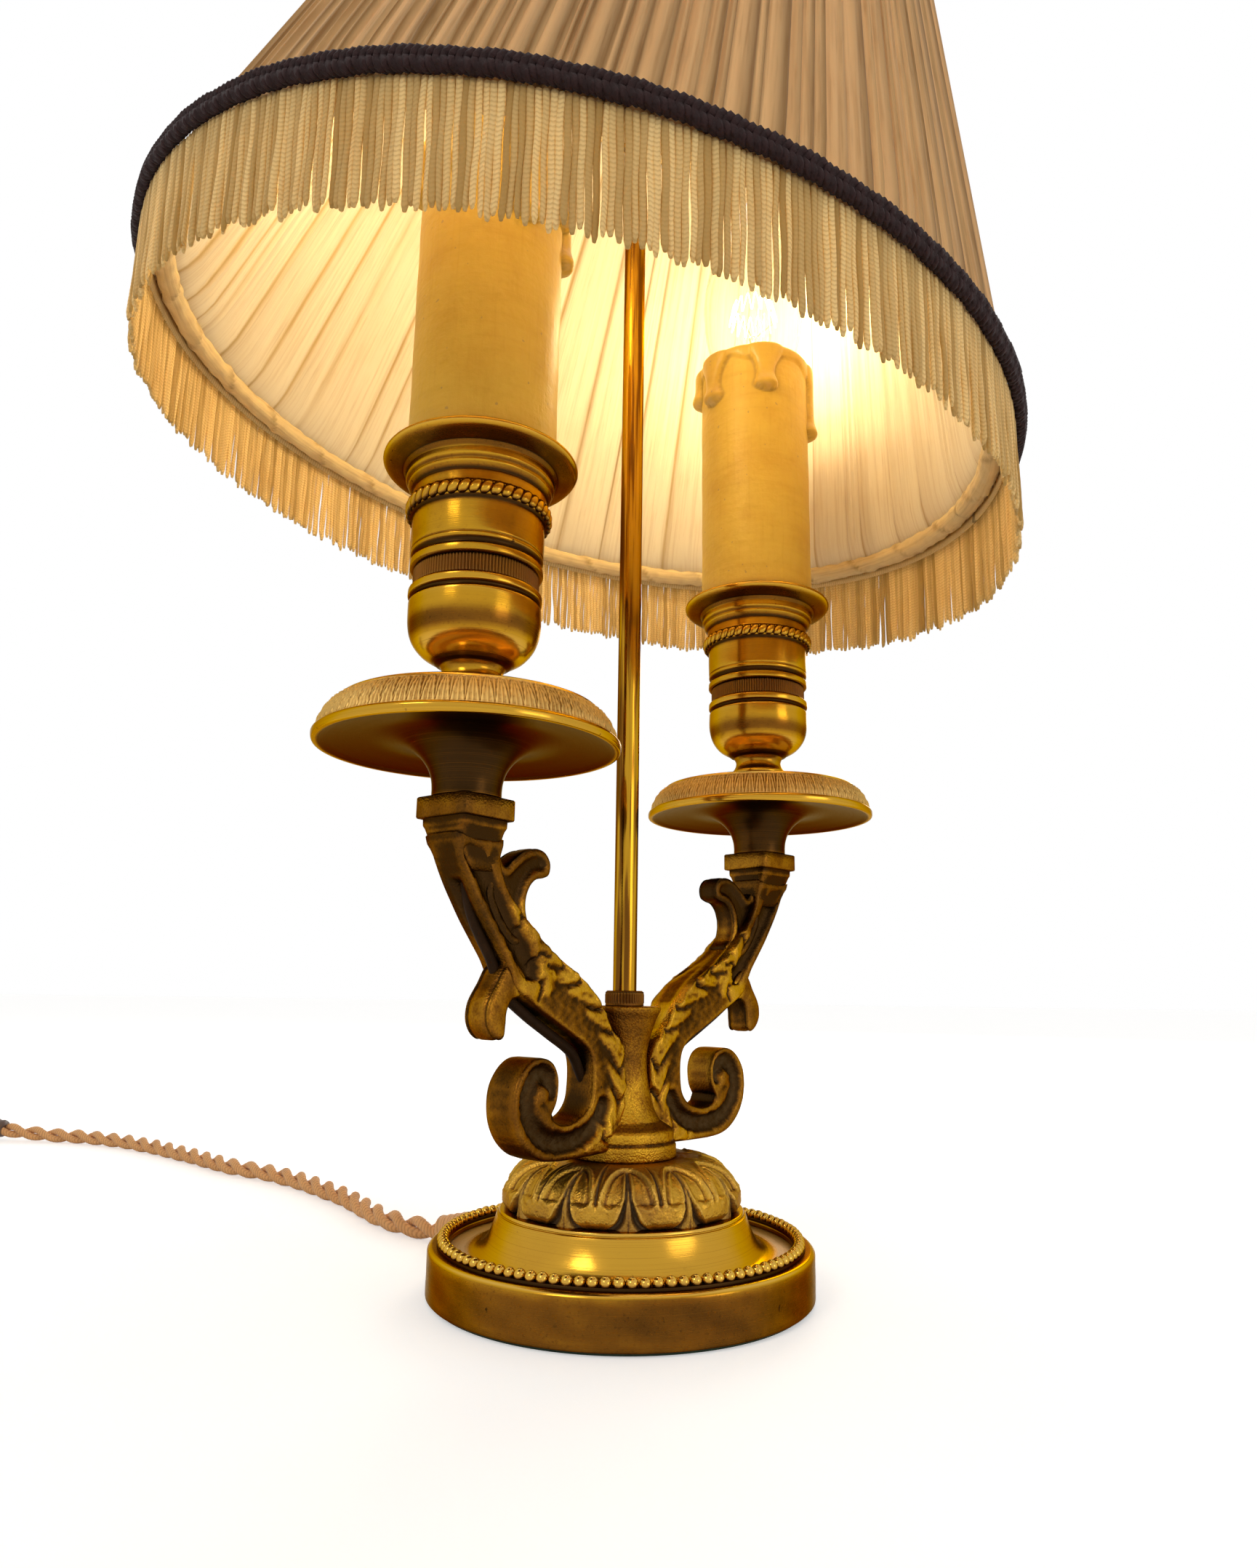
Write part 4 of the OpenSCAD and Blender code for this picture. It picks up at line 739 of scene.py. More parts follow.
class LAMP_OT_stage(bpy.types.Operator):
    """Camera, pale floor, soft studio light and the light of the two bulbs"""

    bl_idname = "lamp.stage"
    bl_label = "Stage"

    def execute(self, context):
        scene, sizes = context.scene, context.scene.lamp_sizes
        scene.view_settings.view_transform = "Standard"
        yaw, pitch, roll = (math.radians(v) for v in (3.1834, 11.4415, 0.808))
        ahead = Vector((math.sin(yaw) * math.cos(pitch), math.cos(yaw) * math.cos(pitch), math.sin(pitch)))
        right = Vector((math.cos(yaw), -math.sin(yaw), 0))
        up = right.cross(ahead)
        right, up = right * math.cos(roll) + up * math.sin(roll), up * math.cos(roll) - right * math.sin(roll)
        camera = bpy.data.objects.new("camera", bpy.data.cameras.new("camera"))
        camera.data.lens = 36 * 1398.94 / 2156
        camera.data.clip_start = 0.02
        turn = Matrix((right, up, -ahead)).transposed().to_4x4()
        camera.matrix_world = Matrix.Translation(Vector((-15.1, -275.95, 74.21)) * MM) @ turn
        scene.collection.objects.link(camera)
        scene.camera = camera
        self.floor(scene)
        self.world(scene, sizes.ambient)
        target = Vector((0, 0, 0.16))
        for name, place, size, power in (
            ("key", (-0.95, -1.15, 1.25), 0.5, 5.5),
            ("fill", (1.2, -1.0, 0.4), 0.6, 2.8),
            ("back", (0.5, 1.4, 0.8), 0.6, 5.0),
        ):
            data = bpy.data.lights.new(name, "AREA")
            data.size, data.energy, data.color = size, power, (1.0, 0.93, 0.82)
            lamp = bpy.data.objects.new(name, data)
            lamp.location = place
            lamp.rotation_euler = (target - lamp.location).to_track_quat("-Z", "Y").to_euler()
            scene.collection.objects.link(lamp)
        for side in SIDES:
            data = bpy.data.lights.new("bulb_light_" + side, "POINT")
            data.energy, data.shadow_soft_size, data.color = sizes.bulb_power, 0.009, (1.0, 0.9, 0.68)
            lamp = bpy.data.objects.new("bulb_light_" + side, data)
            lamp.location = Vector(at_arm([0, 0, 309], side)) * MM
            lamp.visible_camera = lamp.visible_glossy = lamp.visible_transmission = False
            scene.collection.objects.link(lamp)
        return {"FINISHED"}

    def floor(self, scene):
        mesh = bpy.data.meshes.new("floor")
        far = 6.0
        mesh.from_pydata([(-far, -far, 0), (far, -far, 0), (far, far, 0), (-far, far, 0)], [], [(0, 1, 2, 3)])
        look = Finish("floor", Roughness=0.75)
        rays = look.node("LightPath")
        seen = (rays[0] + rays[3] + rays[6]).least(1.0)
        pale = look.mixed((0.80, 0.79, 0.77), (0.84, 0.835, 0.82), look.noise(40, 3))
        look.set(Base_Color=pale, Emission_Color=look.mixed((0, 0, 0), (1, 1, 1), seen), Emission_Strength=0.42)
        mesh.materials.append(look.material)
        floor = bpy.data.objects.new("floor", mesh)
        scene.collection.objects.link(floor)
        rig.stage(floor)

    def world(self, scene, ambient):
        world = bpy.data.worlds.new("studio")
        scene.world = world
        world.use_nodes = True
        tree = world.node_tree
        rays = tree.nodes.new("ShaderNodeLightPath")
        both = tree.nodes.new("ShaderNodeMath")
        both.operation = "MAXIMUM"
        every = tree.nodes.new("ShaderNodeMath")
        every.operation = "MAXIMUM"
        tree.links.new(rays.outputs["Is Camera Ray"], both.inputs[0])
        tree.links.new(rays.outputs["Is Glossy Ray"], both.inputs[1])
        tree.links.new(both.outputs[0], every.inputs[0])
        tree.links.new(rays.outputs["Is Transmission Ray"], every.inputs[1])
        strength = tree.nodes.new("ShaderNodeMapRange")
        strength.inputs["To Min"].default_value = ambient
        strength.inputs["To Max"].default_value = 1.0
        tree.links.new(every.outputs[0], strength.inputs[0])
        tree.nodes["Background"].inputs[0].default_value = (1, 1, 1, 1)
        tree.links.new(strength.outputs[0], tree.nodes["Background"].inputs[1])


LEAD = [
    (-47, 46, 4.6), (-54, 51, 3.3), (-62, 57, 3.3), (-73, 70, 3.3), (-81, 84, 3.3), (-89, 98, 3.3), (-103, 117, 3.3),
    (-117, 134, 3.3), (-132, 148, 3.3), (-148, 160, 3.3), (-165, 178, 3.3), (-182, 195, 3.3), (-199, 211, 3.3),
    (-217, 225, 3.3), (-236, 236, 3.3), (-256, 243, 3.3), (-274, 246, 4.4), (-293.6, 247, 7.5), (-300, 247, 7.5),
]
LINK = [(-360, 247, 7.5), (-366.4, 247, 7.5), (-374, 247, 4.4), (-383.2, 247, 3.3), (-389.6, 247, 3.3)]
TAIL = [
    (-402.4, 247, 10), (-408.8, 247, 10), (-422, 246, 8.6), (-438, 242, 5.2), (-452, 235, 3.3), (-463, 224, 3.3),
    (-469, 210, 4.4), (-470, 198, 6), (-470, 190.4, 6.9), (-470, 184, 6.9),
]
CORD_D, COIL_AT, COIL_R, COIL_LOOPS, GLAND = 6.4, (-396, 202), 45.0, 3, 135.0


def cord_stretch(route, steps):
    """A stretch whose first and last segments are straight and the rest smooth."""
    route = np.array(route, float)
    middle = curved(route, steps)
    return np.concatenate([route[:1], middle[steps : steps * (len(route) - 2)], route[-2:]])


def coil():
    """The neat coil: out to in on the lower layer, then in to out on the upper one."""
    points = []
    for k in range(24 * 2 * COIL_LOOPS + 1):
        u = k / 24
        radius = COIL_R - (CORD_D + 1) * min(u, 2 * COIL_LOOPS - u)
        climb = min(max((u - COIL_LOOPS + 0.25) * 2, 0), 1)
        angle = math.pi / 2 + TAU * u
        height = 3.3 + (CORD_D + 0.7) * (1 - math.cos(math.pi * climb)) / 2
        points.append((COIL_AT[0] + radius * math.cos(angle), COIL_AT[1] + radius * math.sin(angle), height))
    return np.array([(-389.6, 247, 3.3), *points, (-402.4, 247, 3.3 + CORD_D + 0.7)])


def sleeve_rows(path, start, end, ribs):
    """A tapered sleeve round a straight stretch of cord, with rings along it."""
    run = lengths(path)
    share = run / run[-1]
    radius = start + (end - start) * share ** 0.8 + 0.22 * np.sin(run * TAU / ribs)
    section = circle(1.0, 20)[None] * radius[:, None, None]
    return tube_rows(path, section)


class LAMP_OT_cord(bpy.types.Operator):
    """Twisted two-strand cord with its inline switch, plug and tapered sleeves"""

    bl_idname = "lamp.cord"
    bl_label = "Cord"

    def execute(self, context):
        out = math.radians(GLAND)
        gate = [(r * math.cos(out), r * math.sin(out), 6.2) for r in (50.9, 57.3)]
        tail = np.array(TAIL, float)
        tail[:2, 2] = 3.3 + CORD_D + 0.7
        path = np.concatenate([
            cord_stretch([*gate, *LEAD], 2), cord_stretch(LINK, 1)[:-1], coil()[:-1], cord_stretch(tail, 2)])
        path = evenly(path, 1.45)
        run = lengths(path)
        lay = context.scene.lamp_sizes.lay
        sides, ups = frames(path)
        form = Form()
        strand = circle(1.0, 10)
        for k in range(2):
            angle = run * TAU / lay + k * math.pi
            loose = 0.06 * np.sin(run / 17.0 + k * 2)
            out_to = np.cos(angle)[:, None] * sides + np.sin(angle)[:, None] * ups
            beside = -np.sin(angle)[:, None] * sides + np.cos(angle)[:, None] * ups
            centre = path + out_to * (1.62 + loose)[:, None]
            rows = centre[:, None] + 1.58 * strand[:, :1] * out_to[:, None] + 1.75 * strand[:, 1:] * beside[:, None]
            around = np.broadcast_to(strand[:, 0], (len(path), 10))
            form.skin(rows, caps=True, across=around, along=np.broadcast_to(run[:, None], (len(path), 10)))
        cord = piece("cord", form, "base", finish("cord_textile"), "cord_textile",
                     ("cord_lead", "cord_link", "cord_coil", "cord_tail"))
        sleeves = []
        ends = [
            ("gland_sleeve", path[run <= 20.0], 4.7, 3.8, "cord_textile"),
            ("switch_sleeve_in", path[(run >= 331.5) & (run <= 352.5)][::-1], 4.5, 3.75, "rocker_brown"),
            ("switch_sleeve_out", path[(run >= 411.0) & (run <= 432.0)], 4.5, 3.75, "rocker_brown"),
            ("plug_sleeve", path[run >= run[-1] - 21.0][::-1], 4.9, 3.8, "rocker_brown"),
        ]
        for name, stretch, start, end, slot in ends:
            form = Form()
            rows = sleeve_rows(stretch, start, end, 3.0)
            run_on = lengths(stretch)[:, None]
            form.skin(rows, caps=True, across=circle(1.0, 20)[:, 0] * 2, along=np.broadcast_to(run_on, rows.shape[:2]))
            sleeves.append(piece(name, form, "base", finish(slot), slot))
        dress(finish("switch_ivory", False), "switch_case")
        dress(finish("rocker_brown", False), "switch_rocker", "plug_body")
        dress(finish("contact_brass", False), "plug_pins")
        dress(finish("gland_plastic", False), "cord_gland")
        nodes = frame["nodes"]
        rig.cord(cord, exit=tuple(np.array(gate[0]) * MM), length=round(float(run[-1]) * MM, 3), diameter=CORD_D * MM,
                far_end="plug", stiffness="medium", lay="coiled", path=(path * MM).tolist(),
                with_pieces=[*sleeves, nodes["switch_case"], nodes["switch_rocker"], nodes["plug_body"], nodes["plug_pins"]])
        return {"FINISHED"}


# Base and column


class LAMP_OT_base(bpy.types.Operator):
    """Drum, well plate, beads and the dome of leaves"""

    bl_idname = "lamp.base"
    bl_label = "Base"

    def execute(self, context):
        sizes = context.scene.lamp_sizes
        drum = finely(eased([(46.1, 0.8), (48.5, 0.8), (48.5, 11.3), (47.7, 12.1), (43.3, 12.1), (43.3, 10.6), (45.9, 10.6)], 0.5), 1.2)
        self.turned("drum", drum, "base_drum", "polished_gilt", 256, self.dented, lambda r, z: (
            0.58 - 1.1 * np.exp(-((z - 11.75) / 0.35) ** 2) * (r > 47.5) + 0.25 * np.clip((2.6 - z) / 2, 0, 1)))
        cove = [(38.5 - 6.9 * s ** 0.62, 10.6 + 8.6 * s ** 1.7) for s in np.linspace(0, 1, 14)]
        plate = [(8, 9.1), (45.9, 9.1), (45.9, 10.6), (42.9, 10.6), (39.5, 10.55), *cove,
                 (31.0, 19.25), (31.1, 19.7), (30.9, 20.2), (27.5, 20.35), (8, 20.3)]
        self.turned("plate", finely(eased(plate, 0.25), 1.0), "base_plate", "plate_gilt", 256, self.dented, lambda r, z: (
            0.3 * np.exp(-((r - 43.0) / 0.8) ** 2) - 0.25 * (z > 19.6) * (r > 29.6) + 0.6 * np.clip((30.0 - r) / 0.8, 0, 1)
            - 0.14 * (r > 30.9) * (r < 38)), lambda r, z: 0.9 * np.clip((r - 38.2) / 1.4, 0, 1) * (z < 11.6))
        self.beads(sizes.beads)
        self.dome(sizes.leaves)
        dress(finish("felt", False), "felt_pad")
        dress(finish("cover_steel", False), "bottom_cover")
        dress(finish("ballast_iron", False), "ballast_ring")
        dress(finish("fastener_steel", False), "tie_bolt", "tie_nut", "tie_washer")
        return {"FINISHED"}

    def turned(self, name, profile, node, look, sides, warp, soot, dust=lambda r, z: 0.0):
        at = profile[:, :1], profile[:, 1:]
        form = Form().skin(turned_rows(profile, sides, warp), run=lengths(profile)[:, None], soot=soot(*at), dust=dust(*at))
        piece(name, form, "base", finish(look), "polished_gilt", (node,), patina=(10, 0.5, 0.25))

    @staticmethod
    def dented(angle, radius, height):
        """Hand-finished: never quite round."""
        soft = 0.05 * np.sin(angle * 3 + height * 0.2) + 0.03 * np.sin(angle * 7 + 1.3) + 0.02 * np.sin(angle * 17 + height)
        return radius + soft * (radius > 20), height

    def beads(self, count):
        """Pearls on a narrow fillet, each a little different."""
        form, pick = Form(), random.Random(11)
        fillet = eased([(43.35, 12.0), (43.4, 12.75), (46.1, 12.75), (46.15, 12.0)], 0.2)
        form.skin(turned_rows(fillet, 200), patina=0.9)
        rings, sides = 7, 12
        for k in range(count):
            turn, size = TAU * k / count, 1.4 * (1 + pick.uniform(-0.04, 0.04))
            lift = pick.uniform(-0.05, 0.05)
            rows = []
            for r in range(1, rings):
                fall = math.pi * 0.62 * r / (rings - 1)
                ring = circle(math.sin(fall) * size, sides)
                x, y = 44.75 + ring[:, 0] * 1.0, ring[:, 1] * 1.02
                z = np.full(sides, 13.3 + lift + size * math.cos(fall))
                rows.append(np.stack([x * math.cos(turn) - y * math.sin(turn), x * math.sin(turn) + y * math.cos(turn), z], -1))
            start = len(form.points)
            feet = np.array([0, 0, 0, 0.1, 0.4, 0.7])[:, None]
            form.skin(rows, patina=feet, worn=0.55 * (1 - feet))
            top = 44.75
            form.net([(top * math.cos(turn), top * math.sin(turn), 13.3 + lift + size)], [], patina=0.0, worn=0.55)
            peak = len(form.points) - 1
            form.faces.extend((peak, start + c, start + (c + 1) % sides) for c in range(sides))
        piece("beads", form, "base", finish("polished_gilt"), "polished_gilt", ("bead_moulding",))

    def dome(self, leaves):
        """A cushion of broad cupped leaves: a rim arched over each gap, a vein, a rolled tip, and a dart in each gap."""
        spine = curved([(29.2, 20.25), (29.3, 22.5), (29.2, 25), (28.4, 27.3), (26.4, 29.6), (23.4, 31.2), (19.5, 32.1),
                        (16, 32.35), (13, 32.4)], 12)
        run = lengths(spine)
        share = run / run[-1]
        sides = leaves * 48
        angle = np.arange(sides) * TAU / sides
        across = np.abs((angle * leaves / TAU) % 1.0 - 0.5) * 2
        step = np.gradient(spine, axis=0)
        step /= np.linalg.norm(step, axis=1, keepdims=True)
        s, a = share[:, None], across[None]
        half = math.pi * 27 / leaves
        gap_half = 0.04 + 0.3 * np.clip(1 - s / 0.3, 0, 1) ** 1.2 + 0.08 * np.clip(1 - s / 0.64, 0, 1)
        gap_half = gap_half + 0.26 * np.clip(1 - s / 0.11, 0, 1) ** 2
        edge = 1 - gap_half
        gap = np.clip((0.68 - s) / 0.05, 0, 1) / (1 + np.exp((edge - a) / 0.014))
        u, v = (1 - a) / 0.86, np.clip(s - 0.2, 0, 1) / 0.5
        q = np.hypot(u, v) + 1e-6
        off = (q - 1) / np.hypot(u / q / (0.86 * half), v / q / (0.5 * run[-1]))
        above = np.clip((s - 0.17) / 0.07, 0, 1)
        rim = 0.62 * np.exp(-((off / 0.5) ** 2)) * above
        second = 0.3 * np.exp(-(((off + 1.7) / 0.4) ** 2)) * above * np.clip((edge - a) / 0.08, 0, 1)
        cup = -0.5 * np.clip(-off / 1.2, 0, 1) * above
        vein = -0.5 * np.exp(-((a / 0.04) ** 2)) * np.clip((s - 0.2) / 0.1, 0, 1) * np.clip((0.86 - s) / 0.1, 0, 1)
        vein = vein + 0.22 * np.exp(-(((a - 0.1) / 0.05) ** 2)) * above
        lip = 0.5 * np.exp(-(((a - edge + 0.06) / 0.055) ** 2)) * np.clip((0.66 - s) / 0.1, 0, 1)
        ledge = 0.22 + 0.035 * np.cos(a * 7.5)
        tip = 0.95 * np.sqrt(np.clip(1 - ((s - 0.105) / 0.125) ** 2, 0, 1)) + 0.3 * np.exp(-(((s - ledge) / 0.022) ** 2))
        tip = tip * np.clip((edge - a) / 0.16, 0, 1) ** 0.5
        fade = np.clip((1 - s) / 0.3, 0, 1)
        leaf = (0.1 + rim + second + cup + vein + lip + tip) * fade
        rib = np.sqrt(np.clip(1 - ((1 - a) / (gap_half * 0.62)) ** 2, 0, 1)) * np.clip((0.56 - s) / 0.2, 0, 1)
        dart = -1.6 + 1.9 * rib - 0.25 * np.exp(-(((1 - a) / 0.022) ** 2)) * rib
        push = leaf * (1 - gap) + gap * np.maximum(dart, -2.4 + 1.6 * s)
        push = push - 1.5 * (1 - gap) * np.clip(1 - s / 0.08, 0, 1) ** 2
        push = push + 0.04 * np.sin(angle * 61)[None] * np.sin(share * 47)[:, None]
        radius = spine[:, :1] + step[:, 1:] * push
        height = np.maximum(spine[:, 1:] - step[:, :1] * push, 20.25)
        rows = np.stack([radius * np.cos(angle), radius * np.sin(angle), height], -1)
        dust = 0.14 * (s < 0.8) + gap * (0.8 - 0.6 * rib) * np.clip((0.72 - s) / 0.1, 0, 1) + 0.35 * np.clip(vein * -2, 0, 1)
        soot = (0.5 - 0.3 * rib) * gap - 0.08 + 0.3 * np.clip(vein * -3, 0, 1) + 0.35 * np.clip((s - 0.86) / 0.1, 0, 1) - 0.25 * rim
        form = Form().skin(rows, run=run[:, None], dust=dust, soot=soot)
        inner = [(13, 32.4), (9, 32.3), (9, 27.5), (24, 27.5), (27, 24), (27, 20.2)]
        form.skin(turned_rows(inner, 96), run=0.0)
        piece("dome", form, "base", finish("aged_gilt"), "aged_gilt", ("leaf_dome",), patina=(9, 0.5, 0.3))


class LAMP_OT_column(bpy.types.Operator):
    """Cast column, serrated nut, shade rod and finial"""

    bl_idname = "lamp.column"
    bl_label = "Column"

    def execute(self, context):
        z = DOME_TOP
        outline = [(3.4, z), (13.7, z), (13.9, z + 0.4), (13.9, z + 3.3), (13.1, z + 3.9), (13.3, z + 4.5), (13.3, z + 6.4),
                   (12.6, z + 7.1), (10, z + 8.4)]
        waist = curved([(10, z + 8.4), (8.3, z + 11.2), (7.1, z + 14.8), (6.4, z + 18.8), (6.1, z + 22.5), (6.3, z + 26.5),
                        (7.2, z + 30.5), (8.6, z + 34.6)], 5)
        profile = finely(np.concatenate([eased(outline, 0.5)[:-1], waist[1:],
                                         eased([(8.8, z + 35), (9.5, z + 36.3), (9.7, z + 37.2), (9.3, z + 37.6), (3.4, z + 37.6)], 0.3)]), 0.55)

        def cast(angle, radius, height):
            return radius + 0.05 * np.sin(angle * 3 + height * 0.3) * (radius > 5), height

        high = profile[:, 1:]
        soot = 0.05 + 0.3 * np.clip((high - z - 20) / 12, 0, 1) + 0.45 * np.exp(-((high - z - 4.0) / 0.5) ** 2)
        soot = soot + 0.3 * np.exp(-((high - z - 7.6) / 0.8) ** 2) + 0.4 * np.clip(1 - (high - z) / 0.6, 0, 1)
        form = Form().skin(turned_rows(profile, 160, cast), run=lengths(profile)[:, None], soot=soot)
        piece("column_shaft", form, "base", finish("column_gilt"), "aged_gilt", ("column",), patina=(8, 0.5, 0.2))
        self.nut()
        bead = [(0.2, 418.9), (1.5, 418.3), *[(7.5 * math.cos(a), 408.5 + 7.5 * math.sin(a)) for a in np.linspace(1.3, -1.0, 26)],
                (4.3, 401), (4.5, 398.6), (6.1, 397.4), (6.1, 395), (3.3, 395)]
        form = Form().skin(turned_rows(finely(eased(bead, 0.3), 0.6), 96), run=0.0)
        piece("finial_knob", form, "finial", finish("polished_gilt"), "polished_gilt", ("finial",), patina=(8, 0.5, 0.2))
        dress(finish("rod_brass", False), "shade_rod")
        return {"FINISHED"}

    def nut(self):
        """Serrated edge of V-shaped teeth between two plain rims."""
        teeth, sides = 40, 320
        profile = finely([(3.3, 74), (4.6, 74), (5.1, 73.6), (5.1, 73.2), (5.2, 73.0), (5.2, 70.9), (5.05, 70.7), (5.1, 70.0), (3.3, 70.0)], 0.4)

        def cut(angle, radius, height):
            tooth = np.abs(((angle * teeth / TAU) % 1) - 0.5) * 2
            held = ((height > 70.8) & (height < 73.3) & (radius > 5)).astype(float)
            return radius - 0.5 * tooth * held, height

        form = Form().skin(turned_rows(profile, sides, cut), run=0.0)
        piece("foot_nut", form, "base", finish("dark_bronze"), "dark_bronze", ("rod_nut",), patina=(3, 0.3, 0.2))


# Arms

BAND = [
    (7.0, 75.5), (6.2, 73.0), (4.6, 69.5), (2.2, 65.2), (-0.6, 61.0), (-3.6, 56.8), (-7, 52.6), (-10.4, 48.4),
    (-12.2, 45.4), (-13.6, 42.6), (-16.4, 40.2), (-22, 37.1), (-30, 33.1), (-37.6, 29.2), (-41, 26.6), (-42.3, 23.4),
    (-42.4, 18.6), (-41.6, 14.6), (-39, 11.8), (-35, 10.4), (-31, 10.2), (-28.2, 11.4),
]
VOLUTE = [
    (-27.3, 13.2), (-28.8, 15.6), (-29.4, 18.6), (-29.2, 21.6), (-27.5, 24.4), (-24.5, 25.8), (-21, 25.6), (-17.7, 23.6),
    (-15.2, 20.1), (-14.5, 16.1), (-15.2, 11.6), (-17.5, 7.6), (-21, 4.6), (-25, 3), (-30, 2.4), (-35, 2.3), (-41, 2.3),
    (-47.2, 2.4),
]
BACK = [
    (-54.4, 3.2), (-54.6, 12), (-54.6, 22), (-53.2, 28), (-48.5, 32.6), (-46, 36.6), (-43, 39.6), (-39.5, 43),
    (-34, 46.2), (-28, 49.4), (-24, 51.6), (-20.6, 54.2), (-16.6, 57.8), (-12.4, 61.4), (-9.4, 65), (-7.6, 69), (-7.0, 73),
    (-7.0, 75.5),
]
UPPER_CURL = [
    (-7.6, 70.8), (-10.4, 69.2), (-13, 71.2), (-16.5, 73.6), (-20.2, 74.8), (-23.7, 74.2), (-25.7, 71.9), (-25.4, 69.1),
    (-23.4, 68), (-20.8, 67.4), (-18.8, 65.6), (-17.6, 62.8), (-17.6, 59.6), (-18.8, 56.6), (-21, 53.8), (-13, 52), (-5, 62),
]
LOWER_CURL = [
    (-11.2, 46.4), (-9, 42.9), (-6.3, 38.8), (-5.7, 35.1), (-7, 32.1), (-9.5, 30.4), (-11.5, 31), (-11.9, 33.6),
    (-12.2, 36.6), (-13.6, 39.1), (-16.4, 40.2), (-18, 44.5), (-14, 48),
]
CHANNELS = [
    ([(2.2, 72), (-2.2, 66.6), (-6.4, 60.8), (-11, 55), (-15.2, 49.8), (-18.2, 46.2)], 2.7),
    ([(-46.2, 13.4), (-43.4, 9.4), (-38, 6.9), (-31.4, 6.3), (-25, 7.6), (-20.7, 11.2), (-18.8, 15.6), (-19.7, 19.8),
      (-22.7, 22.1), (-25.8, 21.3), (-26.6, 18.6)], 2.5),
]
EYE = (-24.0, 17.4)
LEAF_LINE = [(-21, 52.6), (-26, 49.2), (-32, 45.8), (-38, 42.2), (-43, 38.2), (-47.2, 33.2), (-51, 27.2), (-52.4, 20),
             (-51.6, 13), (-48.6, 7.6), (-42.4, 4.6)]
SPRAY_LINE = [(-14.6, 58), (-18.6, 53.4), (-21.4, 48.6), (-22.4, 43.6), (-18.6, 41.2)]
WIRE = [
    (-45, 17.5), (-42.2, 21.6), (-38.5, 26.6), (-30, 31.3), (-22, 35.6), (-14.8, 40.2), (-12, 44), (-9.6, 48.6),
    (-6.4, 53), (-3.4, 57.6), (-1.4, 63), (-0.4, 69), (0, 74.6),
]


def spaced(line, step, closed=False):
    """A smooth plane line with points about step apart."""
    line = np.array([(x, 0, z) for x, z in line], float)
    fine = curved(line, 8, closed)
    if closed:
        fine = np.concatenate([fine, fine[:1]])
    fine = evenly(fine, step)[:, [0, 2]]
    return fine[:-1] if closed else fine


def away(points, line, closed=False):
    """Distance of each point from a plane line, and how far along the line its nearest place is."""
    a = np.asarray(line)
    b = np.roll(a, -1, 0) if closed else a[1:]
    a = a if closed else a[:-1]
    d = b - a
    rel = points[:, None] - a[None]
    t = np.clip((rel * d).sum(-1) / (d * d).sum(-1), 0, 1)
    gap = np.linalg.norm(rel - t[..., None] * d, axis=-1)
    best = gap.argmin(1)
    start = np.concatenate([[0], np.cumsum(np.linalg.norm(d, axis=1))])
    rows = np.arange(len(points))
    return gap[rows, best], start[best] + t[rows, best] * np.linalg.norm(d, axis=1)[best]


def slab(form, outline, half, cheek, wall, step=0.75, columns=13, rim=0.45):
    """A carved slab on an outline in the arm's plane.

    cheek gives the height of both faces from points and their distance to the edge, wall pushes the edge outward."""
    edge = np.asarray(outline)
    count = len(edge)
    ahead = np.roll(edge, -1, 0) - np.roll(edge, 1, 0)
    outward = np.stack([ahead[:, 1], -ahead[:, 0]], 1) / np.linalg.norm(ahead, axis=1, keepdims=True)
    x, z = edge.T
    if (x * np.roll(z, -1) - np.roll(x, -1) * z).sum() < 0:
        outward = -outward
    low, high = edge.min(0), edge.max(0)
    pick = np.random.default_rng(5)
    grid = np.array([(gx + (k % 2) * step / 2, gz) for k, gz in enumerate(np.arange(low[1], high[1], step * 0.87))
                     for gx in np.arange(low[0], high[0], step)])
    grid += pick.uniform(-0.08, 0.08, grid.shape) * step
    ring = edge - outward * rim
    gap, _ = away(ring, edge, True)
    inner = [ring[gap > rim * 0.9], edge - outward * rim * 2]
    inner[1] = inner[1][away(inner[1], edge, True)[0] > rim * 1.8]
    gap, _ = away(grid, edge, True)
    points = np.concatenate([edge, *inner, grid[gap > rim * 2.4]])
    loop = [(k, (k + 1) % count) for k in range(count)]
    found, _, faces, source, _, _ = delaunay_2d_cdt([Vector(p) for p in points], loop, [], 1, 1e-6)
    flat = np.array([tuple(p) for p in found])
    gap, _ = away(flat, edge, True)
    is_edge = gap < 1e-4
    height = np.where(is_edge, half - 0.35, cheek(flat, gap))
    order = {}
    for k, origin in enumerate(source):
        for o in origin:
            if o < count:
                order[o] = k
    start = len(form.points)
    size = len(flat)
    front = np.stack([flat[:, 0], -height, flat[:, 1]], 1)
    back = np.stack([flat[:, 0], height, flat[:, 1]], 1)
    form.points.extend(map(tuple, front))
    form.points.extend(map(tuple, back))
    form.faces.extend(tuple(start + i for i in f) for f in faces)
    form.faces.extend(tuple(start + size + i for i in reversed(f)) for f in faces)
    ring_at = np.array([order[k] for k in range(count)])
    share = np.linspace(-1, 1, columns + 2)[1:-1]
    across = share * (half - 0.1)
    rounded = -0.32 * np.clip((np.abs(share) - 0.72) / 0.28, 0, 1) ** 2
    push = wall(edge[:, None, :], np.broadcast_to(across, (count, columns))) + rounded + 0.12
    places = edge[:, None] + outward[:, None] * push[..., None]
    walls = np.stack([places[..., 0], np.broadcast_to(across, push.shape), places[..., 1]], -1)
    base = len(form.points)
    form.points.extend(map(tuple, walls.reshape(-1, 3)))
    for k in range(count):
        n = (k + 1) % count
        this = [start + ring_at[k], *(base + k * columns + c for c in range(columns)), start + size + ring_at[k]]
        that = [start + ring_at[n], *(base + n * columns + c for c in range(columns)), start + size + ring_at[n]]
        form.faces.extend((a, b, d, c) for a, b, c, d in zip(this, that, this[1:], that[1:]))


